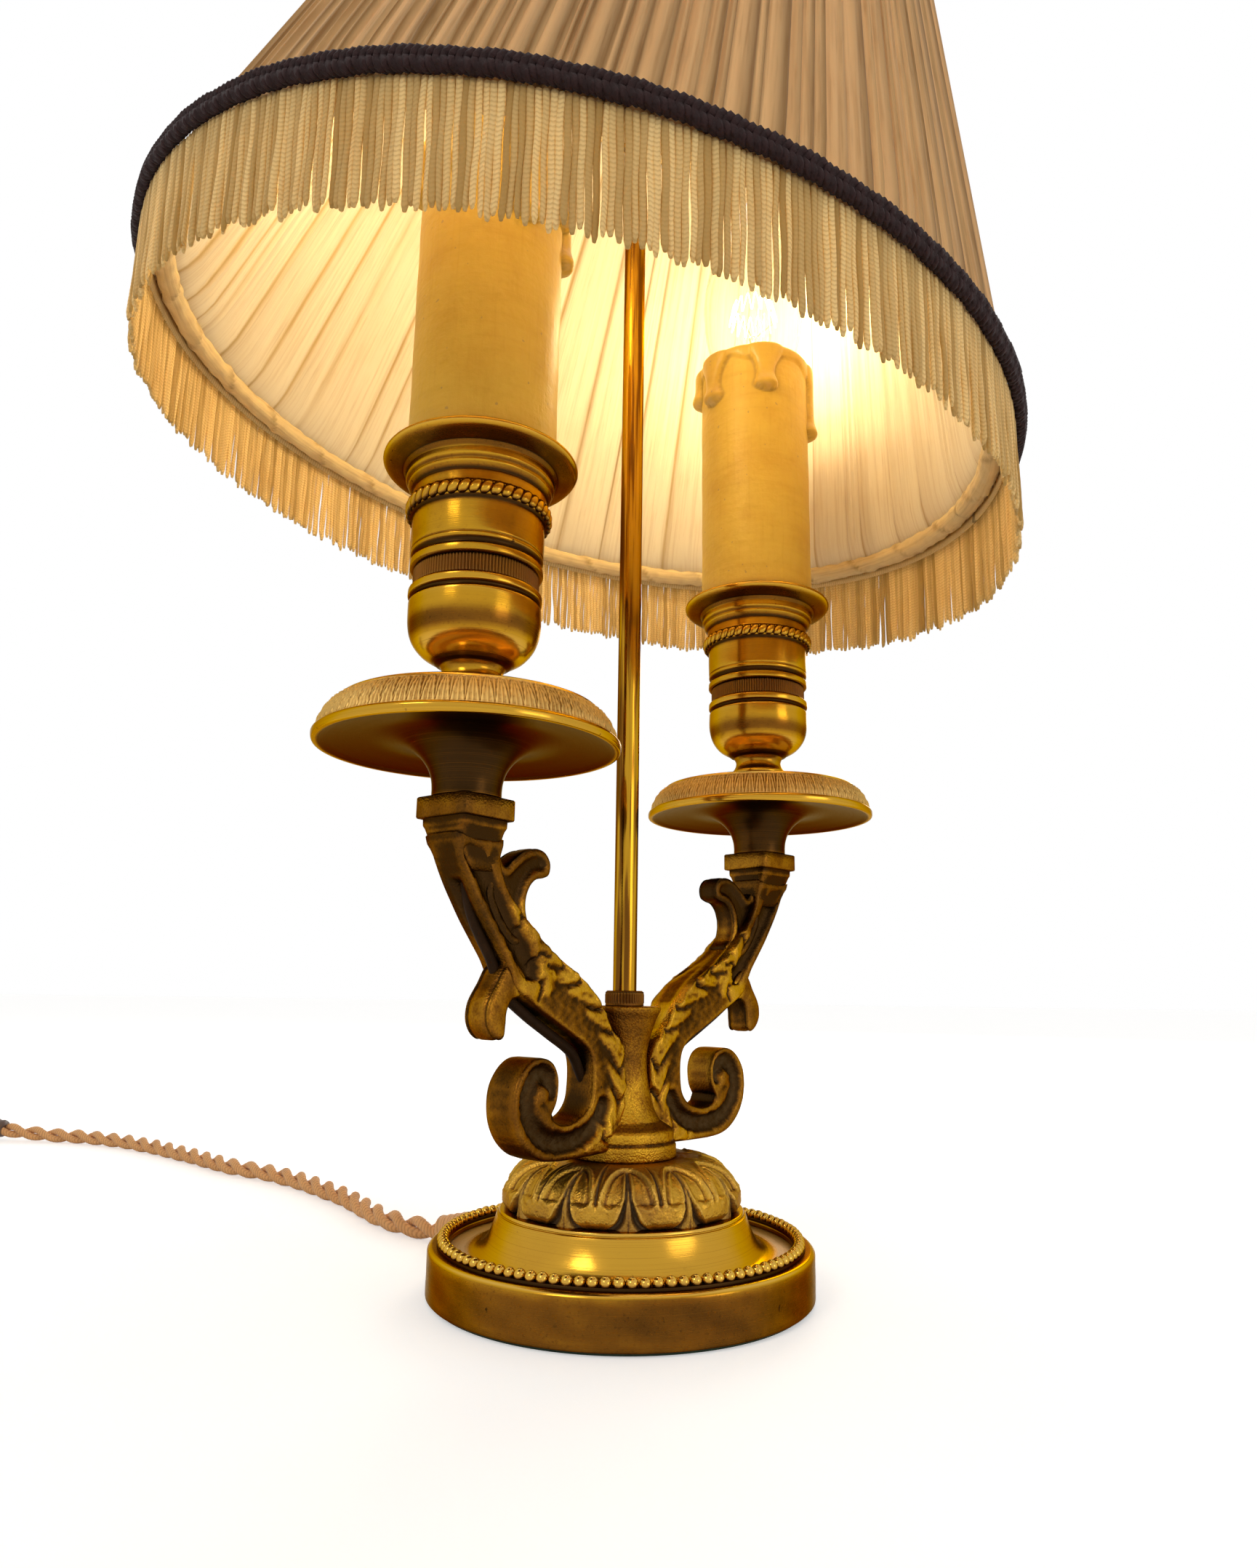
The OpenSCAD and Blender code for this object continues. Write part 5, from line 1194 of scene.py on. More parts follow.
def lobes(points, line, pitch, slant, size, lift):
    """Carved leaf lobes along a line: uneven slanting leaflets, each overlapping the next, with fine veins."""
    gap, run = away(points, line)
    lean = run + gap * slant + 0.9 * np.sin(run * 0.37 + 1.0)
    wave = (lean / pitch) % 1.0
    shape = 0.25 + 0.75 * wave ** 0.7 - 1.9 * np.exp(-((wave / 0.11) ** 2)) - 0.5 * np.clip((wave - 0.91) / 0.09, 0, 1)
    shape = (shape + 0.13 * np.sin(wave * TAU * 3.0)) * (0.8 + 0.25 * np.sin(run * 0.53))
    reach = size * (0.62 + 0.38 * np.sin(np.pi * np.clip(wave * 1.1, 0, 1)))
    return lift * shape * np.clip(1.15 - gap / reach, 0, 1) ** 0.5


def ripple(points, scale):
    """Uneven hand-chased surface."""
    x, z = points[..., 0] / scale, points[..., 1] / scale
    return np.sin(x * 2.1 + 1.7 * np.sin(z * 1.3)) * np.sin(z * 1.9 + 1.1 * np.sin(x * 0.8 + 2))


class LAMP_OT_arms(bpy.types.Operator):
    """Two scrolled arms with acanthus carving, their square blocks and the wire along each"""

    bl_idname = "lamp.arms"
    bl_label = "Arms"

    def execute(self, context):
        outline = np.array(spaced(BAND, 0.6).tolist() + spaced(VOLUTE, 0.6).tolist() + spaced(BACK, 0.6).tolist())
        close = np.linalg.norm(outline - np.roll(outline, 1, 0), axis=1) > 0.15
        outline = outline[close]
        channels = [(spaced(line, 0.8), half) for line, half in CHANNELS]
        leaf, spray = spaced(LEAF_LINE, 0.8), spaced(SPRAY_LINE, 0.8)

        def cheek(points, gap):
            high = 4.75 - 0.35 * np.clip(1 - gap / 0.45, 0, 1) ** 2
            for line, half in channels:
                off = away(points, line)[0]
                high = high - 1.9 * np.sqrt(np.clip(1 - (off / half) ** 2, 0, 1)) * np.clip((gap - 0.5) / 0.6, 0, 1)
            high = high + lobes(points, leaf, 9.0, 1.3, 4.3, 1.3) * np.clip((gap + 0.3) / 0.9, 0, 1)
            high = high + lobes(points, spray, 8.6, -1.0, 4.0, 1.1) * np.clip((gap + 0.3) / 0.9, 0, 1)
            off = np.linalg.norm(points - EYE, axis=1)
            high = np.where(off < 2.3, np.maximum(high, 4.3 + 0.85 * np.sqrt(np.clip(1 - (off / 2.3) ** 2, 0, 1))), high)
            fade = np.clip((points[:, 1] - 69.5) / 4, 0, 1)
            return high * (1 - fade) + (4.75 + 1.2 * fade) * fade + 0.07 * ripple(points, 1.2)

        def wall(places, across):
            x, z = places[..., 0], places[..., 1]
            leafy = np.clip(1 - np.abs(x + 34) / 20, 0, 1) ** 0.5 * (z > 30) * (z - x * 0.62 > 60)
            ribs = np.sin((x - z) * 0.62 + np.abs(across) * 0.9) * np.clip(np.abs(across) / 3.4 - 0.15, 0, 1)
            slot = np.clip((1.65 - np.abs(across)) / 0.35, 0, 1) * (z > 47) * (z < 66) * (x > -11.8) * (x - z * 0.8 > -52)
            stem = np.clip(1 - np.abs(z - 17) / 14, 0, 1) * (x < -50)
            return (0.5 * ribs * leafy - 2.6 * slot * np.clip((z - 47) / 1.5, 0, 1) * np.clip((66 - z) / 3, 0, 1)
                    + 0.05 * ripple(places, 1.6) - 0.2 * stem)

        def hollow_curl(points, gap):
            high = 3.05 + 0.6 * np.sqrt(np.clip(1 - (1 - gap / 1.6).clip(0) ** 2, 0, 1))
            return high - 1.1 * np.clip((gap - 1.5) / 1.2, 0, 1) + 0.05 * ripple(points, 1.3)

        def full_curl(points, gap):
            return 3.35 + 0.9 * np.sqrt(np.clip(1 - (1 - gap / 3.2).clip(0) ** 2, 0, 1)) + 0.03 * ripple(points, 1.8)

        def curl_wall(places, across):
            return 0.35 - 0.8 * np.clip((np.abs(across) - 1.2) / 2.4, 0, 1) ** 2 + 0.04 * ripple(places, 1.5) - 0.35

        form = Form()
        slab(form, outline, 4.75, cheek, wall)
        slab(form, spaced(UPPER_CURL, 0.6, True), 3.4, hollow_curl, curl_wall, rim=0.5)
        slab(form, spaced(LOWER_CURL, 0.6, True), 3.7, full_curl, curl_wall, rim=0.5)
        self.block(form)
        form.marks["soot"], form.marks["dust"] = self.age(np.array(form.points), channels, (leaf, spray))
        points = np.array(form.points) + [ARM_REACH, 0, DOME_TOP]
        for side, turn in SIDES.items():
            form.points = [tuple(p) for p in spun(points, turn)]
            piece("arm_carved_" + side, form, "base", finish("arm_gilt"), "aged_gilt", ("arm_" + side,), patina=(9, 0.42, 0.3))
            path = curved([(x + ARM_REACH, 0, z + DOME_TOP) for x, z in WIRE], 8)
            wire = Form().skin(spun(tube_rows(evenly(path, 1.0), circle(1.3, 12)), turn), caps=True)
            piece("sleeved_wire_" + side, wire, "base", finish("wire_sleeve"), "wire_sleeve", ("arm_wire_" + side,))
        return {"FINISHED"}

    @staticmethod
    def age(points, channels, leaves):
        """Soot and dust for each point: channel floors, neck and block dark, the carved leaves rubbed."""
        x, y, z = points.T
        plane = points[:, [0, 2]]
        floor = np.zeros(len(points))
        for line, half in channels:
            near = np.clip((half - away(plane, line)[0]) / 1.3, 0, 1)
            floor = np.maximum(floor, near * np.clip((4.6 - np.abs(y)) / 0.6, 0, 1) * (np.abs(y) > 2.2))
        mottle = 0.5 + 0.5 * np.sin(x * 1.9 + 2 * np.sin(z * 1.1)) * np.sin(z * 2.3 + 1.5 * np.sin(x * 0.9))
        leafy = np.zeros(len(points))
        for line in leaves:
            leafy = np.maximum(leafy, np.clip((5.5 - away(plane, line)[0]) / 2, 0, 1))
        soot = 0.58 - 0.24 * leafy + 0.3 * floor + 0.12 * np.clip((z - 48) / 14, 0, 1) - 0.25 * np.clip((z - 75) / 2, 0, 1)
        soot = soot + 0.2 * mottle * (z > 74) - 0.22 * (x < -44) * (np.abs(y) < 4.3)
        return soot, floor * 0.4 * mottle * (z < 40)

    @staticmethod
    def block(form):
        """Square block with softened edges, a fillet and a hollow below it that runs into the neck."""
        heights = [(84.1, 7.7, 7.7, 0), (84.05, 8.0, 8.0, 0), (83.8, 8.2, 8.2, 0), (79.5, 8.2, 8.2, 0), (79.2, 8.05, 8.05, 0),
                   (79.1, 7.6, 7.6, 0), (79.0, 7.05, 7.05, 0), (77.6, 7.0, 7.0, 0), (77.3, 6.9, 6.9, 0), (76.9, 6.75, 6.6, 0),
                   (76.2, 6.6, 6.3, 0), (75, 6.45, 5.8, -0.1), (73.4, 6.3, 5.3, -0.3), (71.6, 5.9, 4.95, -0.9), (69.6, 5.3, 4.75, -1.8),
                   (67.6, 4.7, 4.5, -2.8)]
        rows = []
        for z, half_x, half_y, shift in heights:
            ring = []
            for k in range(4):
                corner = np.array([(1, -1), (1, 1), (-1, 1), (-1, -1)][k])
                following = np.array([(1, 1), (-1, 1), (-1, -1), (1, -1)][k])
                soft = 0.06
                for t in (soft * 0.3, soft, 0.2, 0.35, 0.5, 0.65, 0.8, 1 - soft, 1 - soft * 0.3):
                    p = corner * (1 - t) + following * t
                    trim = 1 - 0.035 * max(0, 1 - min(t, 1 - t) / soft)
                    ring.append((p[0] * half_x * trim + shift, p[1] * half_y * trim, z))
            rows.append(ring)
        rows = np.array(rows[::-1])
        form.skin(rows, caps=True)


# Pans, cups, candles and bulbs


class LAMP_OT_pans(bpy.types.Operator):
    """Drip pans with a leaf-and-dart band and a trumpet stem"""

    bl_idname = "lamp.pans"
    bl_label = "Drip pans"

    def execute(self, context):
        count = context.scene.lamp_sizes.band_leaves
        z, rim = BLOCK_TOP, 127.7
        trumpet = curved([(8, z + 0.1), (8, z + 2.2), (8.3, z + 4.4), (9.3, z + 7), (11.6, z + 9.8), (15.4, z + 12.1), (21, z + 13.1),
                          (27, z + 12.6), (31.6, z + 11.9)], 7)
        under = finely(np.concatenate([[(5.2, z + 0.1)], trumpet, eased([(32.4, z + 11.75), (33.4, z + 11.4), (34.2, rim), (35.0, rim + 0.1),
                       (35.2, rim + 0.7), (35.2, rim + 1.7), (34.7, rim + 2.3), (34.3, rim + 2.45)], 0.3)]), 0.9)
        band = finely(curved([(34.35, rim + 2.4), (33.9, rim + 4.2), (32.9, rim + 6.3), (31.5, rim + 8.1), (30.3, rim + 9.1)], 6), 0.3)
        dish = finely(np.concatenate([eased([(30.35, rim + 9.0), (29.9, rim + 9.75), (28.7, rim + 9.8), (27.4, rim + 7.4), (24.4, rim + 6.3)], 0.4),
                                      [(13, rim + 6.3)], eased([(12.9, rim + 6.3), (9.5, rim + 7.8), (8.9, z + 25.4), (5.2, z + 25.4)], 0.4)]), 1.2)
        sides = count * 12
        run = lengths(band) / lengths(band)[-1]
        angle = np.arange(sides) * TAU / sides
        a = np.abs(((angle * count / TAU) % 1) - 0.5)[None] * 2
        s = run[:, None]
        tip = np.clip(1 - s / 0.97, 0, 1) ** 0.55
        leaf_edge = 0.80 * tip
        rimmed = np.exp(-(((a - leaf_edge) / 0.1) ** 2))
        vein = np.exp(-((a / 0.09) ** 2)) * np.clip(0.86 - s, 0, 1) ** 0.4
        dart = np.exp(-(((1 - a) / 0.1) ** 2)) * np.clip(s * 2 - 0.1, 0, 1)
        ends = np.clip(np.minimum(s, 1 - s) / 0.06, 0, 1)
        push = (0.5 * rimmed + 0.42 * vein + 0.42 * dart - 0.36 + 0.16 * (a < leaf_edge)) * ends
        step = np.gradient(band, axis=0)
        step /= np.linalg.norm(step, axis=1, keepdims=True)
        radius = band[:, :1] + step[:, 1:] * push
        height = band[:, 1:] - step[:, :1] * push
        carved = np.stack([radius * np.cos(angle), radius * np.sin(angle), height], -1)

        def soft(angle, radius, height):
            return radius + 0.06 * np.sin(angle * 5 + height) * (radius > 12), height

        # Painted shadow darkens the pan's underside, most away from the stem; its outer rim and the dish on top are
        # painted bright.
        reach = under[:, :1]
        shadow = 0.74 + 0.25 * np.clip((reach - 9) / 6, 0, 1) - 1.1 * np.clip((reach - 33.2) / 1.0, 0, 1)
        for side in SIDES:
            form = Form().skin(at_arm(turned_rows(under, 160, soft), side), run=lengths(under)[:, None], soot=shadow)
            form.skin(at_arm(turned_rows(dish, 160, soft), side), run=lengths(dish)[:, None], soot=-0.8)
            piece("pan_" + side, form, "base", finish("polished_gilt"), "polished_gilt", ("drip_pan_" + side,), patina=(6, 0.8, 0.25))
            form = Form().skin(at_arm(carved, side), run=0.0)
            piece("pan_band_" + side, form, "base", finish("band_gilt"), "aged_gilt", patina=(4, 0.34, 0.1))
        return {"FINISHED"}


class LAMP_OT_cups(bpy.types.Operator):
    """Candle cups: bowl, ribbed ring, gadrooned collar and flange"""

    bl_idname = "lamp.cups"
    bl_label = "Candle cups"

    def execute(self, context):
        z = 142.0
        bowl = np.concatenate([
            eased([(5.2, z), (8.5, z), (8.6, z + 0.5), (8.4, z + 1.1)], 0.2),
            curved([(8.3, z + 1.2), (7.4, z + 2.6), (7.1, z + 4.2), (7.7, z + 5.6)], 5),
            eased([(7.8, z + 5.7), (8.9, z + 6.2), (9.4, z + 6.7)], 0.2),
            curved([(9.6, z + 6.8), (12.4, z + 8.5), (14.6, z + 11.4), (15.6, z + 15.2), (15.65, z + 20.1)], 7),
            eased([(15.6, z + 20.3), (15.0, z + 20.9), (15.0, z + 21.5), (15.85, z + 21.9), (15.85, z + 23.4), (15.2, z + 24)], 0.25)])
        c, top = 170.4, 199.5
        collar = np.concatenate([
            eased([(14.6, c), (15.3, c + 0.1), (15.85, c + 0.5), (15.85, c + 2.0), (15.1, c + 2.5), (15.1, c + 3.4), (15.75, c + 3.9),
                   (15.8, c + 4.6), (15.55, c + 4.9), (15.8, c + 5.2), (15.85, top - 16)], 0.22),
            eased([(15.9, top - 15.8), (16.6, top - 15.3), (16.6, top - 12.3), (16.2, top - 11.9), (16.1, top - 9.2)], 0.3),
            eased([(16.1, top - 9.1), (16.9, top - 8.2), (17.3, top - 7.6), (17.2, top - 6.9), (17.9, top - 6.2), (17.9, top - 4.2),
                   (18.6, top - 3.4)], 0.35),
            curved([(18.7, top - 3.3), (20.6, top - 2.8), (22.6, top - 2.2), (23.4, top - 1.5), (23.5, top - 0.9), (23.1, top - 0.35),
                    (22.4, top - 0.1)], 5),
            [(18.2, top - 0.2), (14.6, top - 0.2), (14.6, top - 1.5)]])
        bead_count, ribs = 42, 120

        def rounded_off(angle, radius, height):
            return radius + 0.04 * np.sin(angle * 3 + height * 0.6), height

        def cut(angle, radius, height):
            tooth = np.abs(((angle * ribs / TAU) % 1) - 0.5) * 2
            return radius - 0.42 * tooth ** 1.5 * (radius > 14.5), height

        knurl = finely([(14.2, 166), (14.9, 166.1), (14.95, 166.4), (14.95, 170), (14.9, 170.3), (14.2, 170.4)], 0.4)
        pearls = Form()
        pick = random.Random(3)
        rows, sides = 9, 10
        for k in range(bead_count):
            turn = TAU * k / bead_count
            rise = np.linspace(-1, 1, rows) * 1.72
            girth = 1.1 * np.sqrt(np.clip(1 - (rise / 1.76) ** 2, 0, 1)) ** 0.6 * (1 + pick.uniform(-0.05, 0.05))
            ring = circle(1.0, sides)
            x = 16.55 + ring[None, :, 0] * girth[:, None]
            y = ring[None, :, 1] * girth[:, None] * 1.32 + 0.35 * rise[:, None]
            height = np.broadcast_to((top - 13.8 + rise)[:, None], x.shape)
            pearls.skin(np.stack([x * math.cos(turn) - y * math.sin(turn), x * math.sin(turn) + y * math.cos(turn), height], -1),
                        caps=True)
        pearl_points = np.array(pearls.points)
        spread = np.hypot(pearl_points[:, 0], pearl_points[:, 1])
        pearl_soot = 0.25 + 0.5 * np.clip((17.3 - spread) / 0.5, 0, 1)
        for side in SIDES:
            for name, profile, node, sides in (("bowl", bowl, "cup_bowl_", 160), ("collar", collar, "cup_collar_", 160)):
                profile = finely(profile, 0.6)
                high = profile[:, 1:] - (z if name == "bowl" else top)
                if name == "bowl":
                    soot = 0.6 * np.exp(-((high - 13.5) / 3.0) ** 2) - 0.45 * np.exp(-((high - 9.0) / 2.2) ** 2) * (high < 12)
                    soot = soot + 0.8 * np.exp(-((high - 21.2) / 0.4) ** 2) + 0.5 * np.exp(-((high - 6.2) / 0.5) ** 2)
                else:
                    soot = 0.15 + 0.85 * np.exp(-((high + 26.2) / 0.5) ** 2) + 0.7 * np.exp(-((high + 9.2) / 0.35) ** 2)
                    soot = soot + 0.35 * np.exp(-((high + 16.0) / 0.5) ** 2) - 0.5 * np.exp(-((high + 0.7) / 0.9) ** 2)
                form = Form().skin(at_arm(turned_rows(profile, sides, rounded_off), side), run=lengths(profile)[:, None], soot=soot)
                if name == "collar":
                    form.net(at_arm(pearl_points, side), pearls.faces, soot=pearl_soot)
                piece(f"{name}_{side}", form, "base", finish("polished_gilt"), "polished_gilt", (node + side,), patina=(9, 0.3, 0.6))
        form = Form()
        for side in SIDES:
            form.skin(at_arm(turned_rows(knurl, ribs * 8, cut), side), run=0.0)
        piece("ribbed_rings", form, "base", finish("dark_bronze"), "dark_bronze", ("knurled_rings",), patina=(3, 0.3, 0.1))
        dress(finish("thread_brass", False), "nipples", "nipple_nuts", "holder_stems")
        dress(finish("contact_brass", False), "holder_shells", "holder_contacts")
        dress(finish("holder_ceramic", False), "holder_insulators")
        return {"FINISHED"}


DRIPS = {
    "left": [(72, 26), (137, 27), (122, 18), (317, 12), (20, 14), (200, 17), (262, 12)],
    "right": [(127, 10), (170, 16), (230, 15), (307, 24), (20, 13), (75, 11)],
}


class LAMP_OT_candles(bpy.types.Operator):
    """Wax candle sleeves with drips down from the rim"""

    bl_idname = "lamp.candles"
    bl_label = "Candles"

    def execute(self, context):
        low, top = 199.5, 284.8
        z = np.concatenate([np.linspace(low, top - 42, 14), np.arange(top - 41, top - 1.4, 0.5)])
        sides = 300
        angle = np.arange(sides) * TAU / sides
        for side, drips in DRIPS.items():
            radius = np.full((len(z), sides), 18.0)
            thick, crease = np.zeros((len(z), sides)), np.zeros((len(z), sides))
            height = np.repeat(z[:, None], sides, 1)
            depth = top - 1.4 - height
            pick = random.Random(side)
            for turn, reach in drips:
                sway = pick.uniform(-0.5, 0.5)
                off = (angle - math.radians(turn) + math.pi) % TAU - math.pi
                x = off[None] * 18 + sway * np.sin(depth / 5)
                past = np.clip(depth - reach + 1.6, 0, None)
                bulb = np.exp(-(((depth - reach + 1.2) / 2.6) ** 2))
                wide = 2.9 + 1.0 * bulb + 3.4 * np.exp(-((depth / 5.0) ** 2))
                dist = np.sqrt((x / wide) ** 2 + (past / 2.4) ** 2)
                rise = (2.3 + 1.0 * bulb) * np.sqrt(np.clip(1 - dist ** 2, 0, 1))
                thick = np.maximum(thick, rise)
                # Painted shade: a dark ring just outside the edge of each drip.
                crease = np.maximum(crease, np.exp(-(((dist - 1.06) / 0.16) ** 2)) * (depth > 0.5))
            skirt = 3.2 + 0.9 * np.sin(angle * 5 + 1) + 0.5 * np.sin(angle * 9)
            melt = 1.0 * np.sqrt(np.clip(1 - (depth / skirt) ** 2, 0, 1)) * (depth < skirt)
            thick = np.maximum(thick, melt)
            uneven = 0.05 * np.sin(height * 0.35 + 2 * np.sin(angle * 2)) + 0.03 * np.sin(angle * 6 + height * 0.1)
            radius = radius + thick + uneven
            curl = np.linspace(0, 1, 9)[1:]
            edge = radius[-1]
            rows = [np.stack([radius[k] * np.cos(angle), radius[k] * np.sin(angle), height[k]], -1) for k in range(len(z))]
            marks = [np.clip(thick[k] / 1.1, 0, 1) for k in range(len(z))]
            wobble = 0.25 * np.sin(angle * 4 + 2) + 0.15 * np.sin(angle * 11)
            for t in curl:
                turn = t * math.pi
                inner = 16.5
                middle, half = (edge + inner) / 2, (edge - inner) / 2
                r = middle + half * math.cos(turn)
                h = top - 1.4 + (1.35 + wobble * 0.5) * math.sin(turn) ** 0.8
                rows.append(np.stack([r * np.cos(angle), r * np.sin(angle), np.broadcast_to(h, r.shape)], -1))
                marks.append(np.ones(sides) * 0.8)
            for h in (top - 6, low + 2, low):
                rows.append(np.stack([16.5 * np.cos(angle), 16.5 * np.sin(angle), np.full(sides, h)], -1))
                marks.append(np.zeros(sides))
            lines = np.zeros(np.shape(marks))
            lines[: len(z)] = crease * (thick < 0.7)
            form = Form().skin(at_arm(np.array(rows), side), looped=True, drip=np.array(marks), crease=lines)
            piece("candle_sleeve_" + side, form, "base", finish("candle_wax"), "candle_wax", ("candle_" + side,))
        return {"FINISHED"}


class LAMP_OT_bulbs(bpy.types.Operator):
    """Clear candle bulbs with their glass stem, supports and zigzag filament"""

    bl_idname = "lamp.bulbs"
    bl_label = "Bulbs"

    def execute(self, context):
        z = 279.0
        outside = curved([(9.9, z - 5), (9.9, z - 1), (10.1, z + 1.5), (11.6, z + 4.6), (14.2, z + 11), (16.2, z + 19), (17.2, z + 29),
                          (16.9, z + 37), (15.1, z + 46), (11.7, z + 56), (7.2, z + 65.5), (3.4, z + 72.4), (1.6, z + 76.2),
                          (0.9, z + 78.2), (0.02, z + 78.7)], 5)
        inside = curved([(0.02, z + 76.3), (0.9, z + 75.8), (2.7, z + 72.3), (6.5, z + 65.2), (11, z + 55.7), (14.3, z + 45.8), (16.1, z + 37),
                         (16.4, z + 29), (15.4, z + 19), (13.4, z + 11.2), (10.8, z + 5), (9.3, z + 1.5), (9.1, z - 5)], 5)
        stem = curved([(0.02, z + 21), (1.3, z + 20.6), (1.6, z + 19.6), (1.3, z + 18), (1.5, z + 8), (3, z + 2), (5.2, z - 2.4),
                       (8.3, z - 4), (8.9, z - 4.9), (0.02, z - 4.9)], 4)
        points, bends = [], 16
        for k in range(bends * 2):
            angle = TAU * k / (bends * 2)
            radius = 6.6 + 1.8 * (k % 2)
            points.append((radius * math.cos(angle), radius * math.sin(angle), z + (25.5 if k % 2 else 33.5)))
        hot = evenly(curved(points, 8), 0.8)
        for side in SIDES:
            form = Form()
            form.skin(at_arm(turned_rows(np.concatenate([outside, inside]), 72), side), looped=True)
            piece("glass_" + side, form, "bulb_" + side, finish("bulb_glass"), "bulb_glass", ("bulb_glass_" + side,))
            form = Form().skin(at_arm(turned_rows(stem, 24), side))
            mount = piece("stem_" + side, form, "bulb_" + side, finish("mount_glass"), "mount_glass", ("bulb_mount_" + side,))
            form = Form()
            for k in range(6):
                angle = TAU * k / 6
                reach, rise = (8.2, 25.7) if k % 2 else (6.8, 33.3)
                foot = (0.5 * math.cos(angle), 0.5 * math.sin(angle), z + 19.6)
                knee = (3.4 * math.cos(angle), 3.4 * math.sin(angle), z + 20.5 + (rise - 20) * 0.3)
                tip = (reach * math.cos(angle), reach * math.sin(angle), z + rise)
                form.skin(at_arm(tube_rows(curved([foot, knee, tip], 6), circle(0.16, 6)), side), caps=True)
            wires = piece("supports_" + side, form, "bulb_" + side, finish("support_wire"), "cap_metal")
            form = Form().skin(at_arm(tube_rows(hot, circle(0.2, 6)), side), caps=True)
            glow = piece("filament_" + side, form, "bulb_" + side, finish("filament"), "mount_glass")
            for obj in (bpy.data.objects["glass_" + side], mount, wires, glow):
                obj.visible_shadow = False
            dress(finish("cap_metal", False), "bulb_cap_" + side)
        return {"FINISHED"}


# Shade

SHADE_R, SHADE_TOP_R, SHADE_H = 119.2, 72.0, 150.0
LEAN, LEAN_TURN, KNUCKLE_Z, KNUCKLE_OFF, RING_DROP = 11.7, -18.0, 362.7, 8.9, 122.8
SLOPE = (SHADE_R - SHADE_TOP_R) / SHADE_H


def shade_place(points):
    """From the shade's own axes, bottom ring in the plane z = 0, to the leaning shade on its knuckle."""
    points = spun(np.asarray(points, float) - [0, 0, RING_DROP], -LEAN_TURN)
    c, s = math.cos(math.radians(LEAN)), math.sin(math.radians(LEAN))
    x, y, z = points[..., 0] * c + points[..., 2] * s, points[..., 1], points[..., 2] * c - points[..., 0] * s
    return spun(np.stack([x, y, z], -1) + [KNUCKLE_OFF, 0, KNUCKLE_Z], LEAN_TURN)


def pleat_fan(count, samples, seed, depth, shading):
    """Uneven knife pleats: for each of count * samples places its angle, its depth and its painted shade, dark in the
    fold and growing across the pleat.
    """
    pick = np.random.default_rng(seed)
    widths, lean, dark = pick.uniform(0.35, 1.75, count), pick.uniform(0.5, 1.25, count), pick.uniform(0.35, 1.0, count)
    starts = np.concatenate([[0], np.cumsum(widths)]) / widths.sum() * TAU
    t = np.arange(samples) / samples
    angle = (starts[:-1, None] + np.diff(starts)[:, None] * t).ravel()
    rise = np.where(t < 0.88, t / 0.88, (1 - t) / 0.12) + 0.12 * np.sin(t * 17) * np.sin(t * math.pi)
    # Painted shade: dark in the fold, growing across the pleat by shading, and a little at its start.
    fold = np.exp(-(((t - 0.965) / 0.045) ** 2)) + shading * t ** 2 + 0.25 * np.exp(-((t / 0.04) ** 2))
    return angle, (depth * lean[:, None] * rise).ravel(), np.clip(dark[:, None] * fold, 0, 1).ravel()


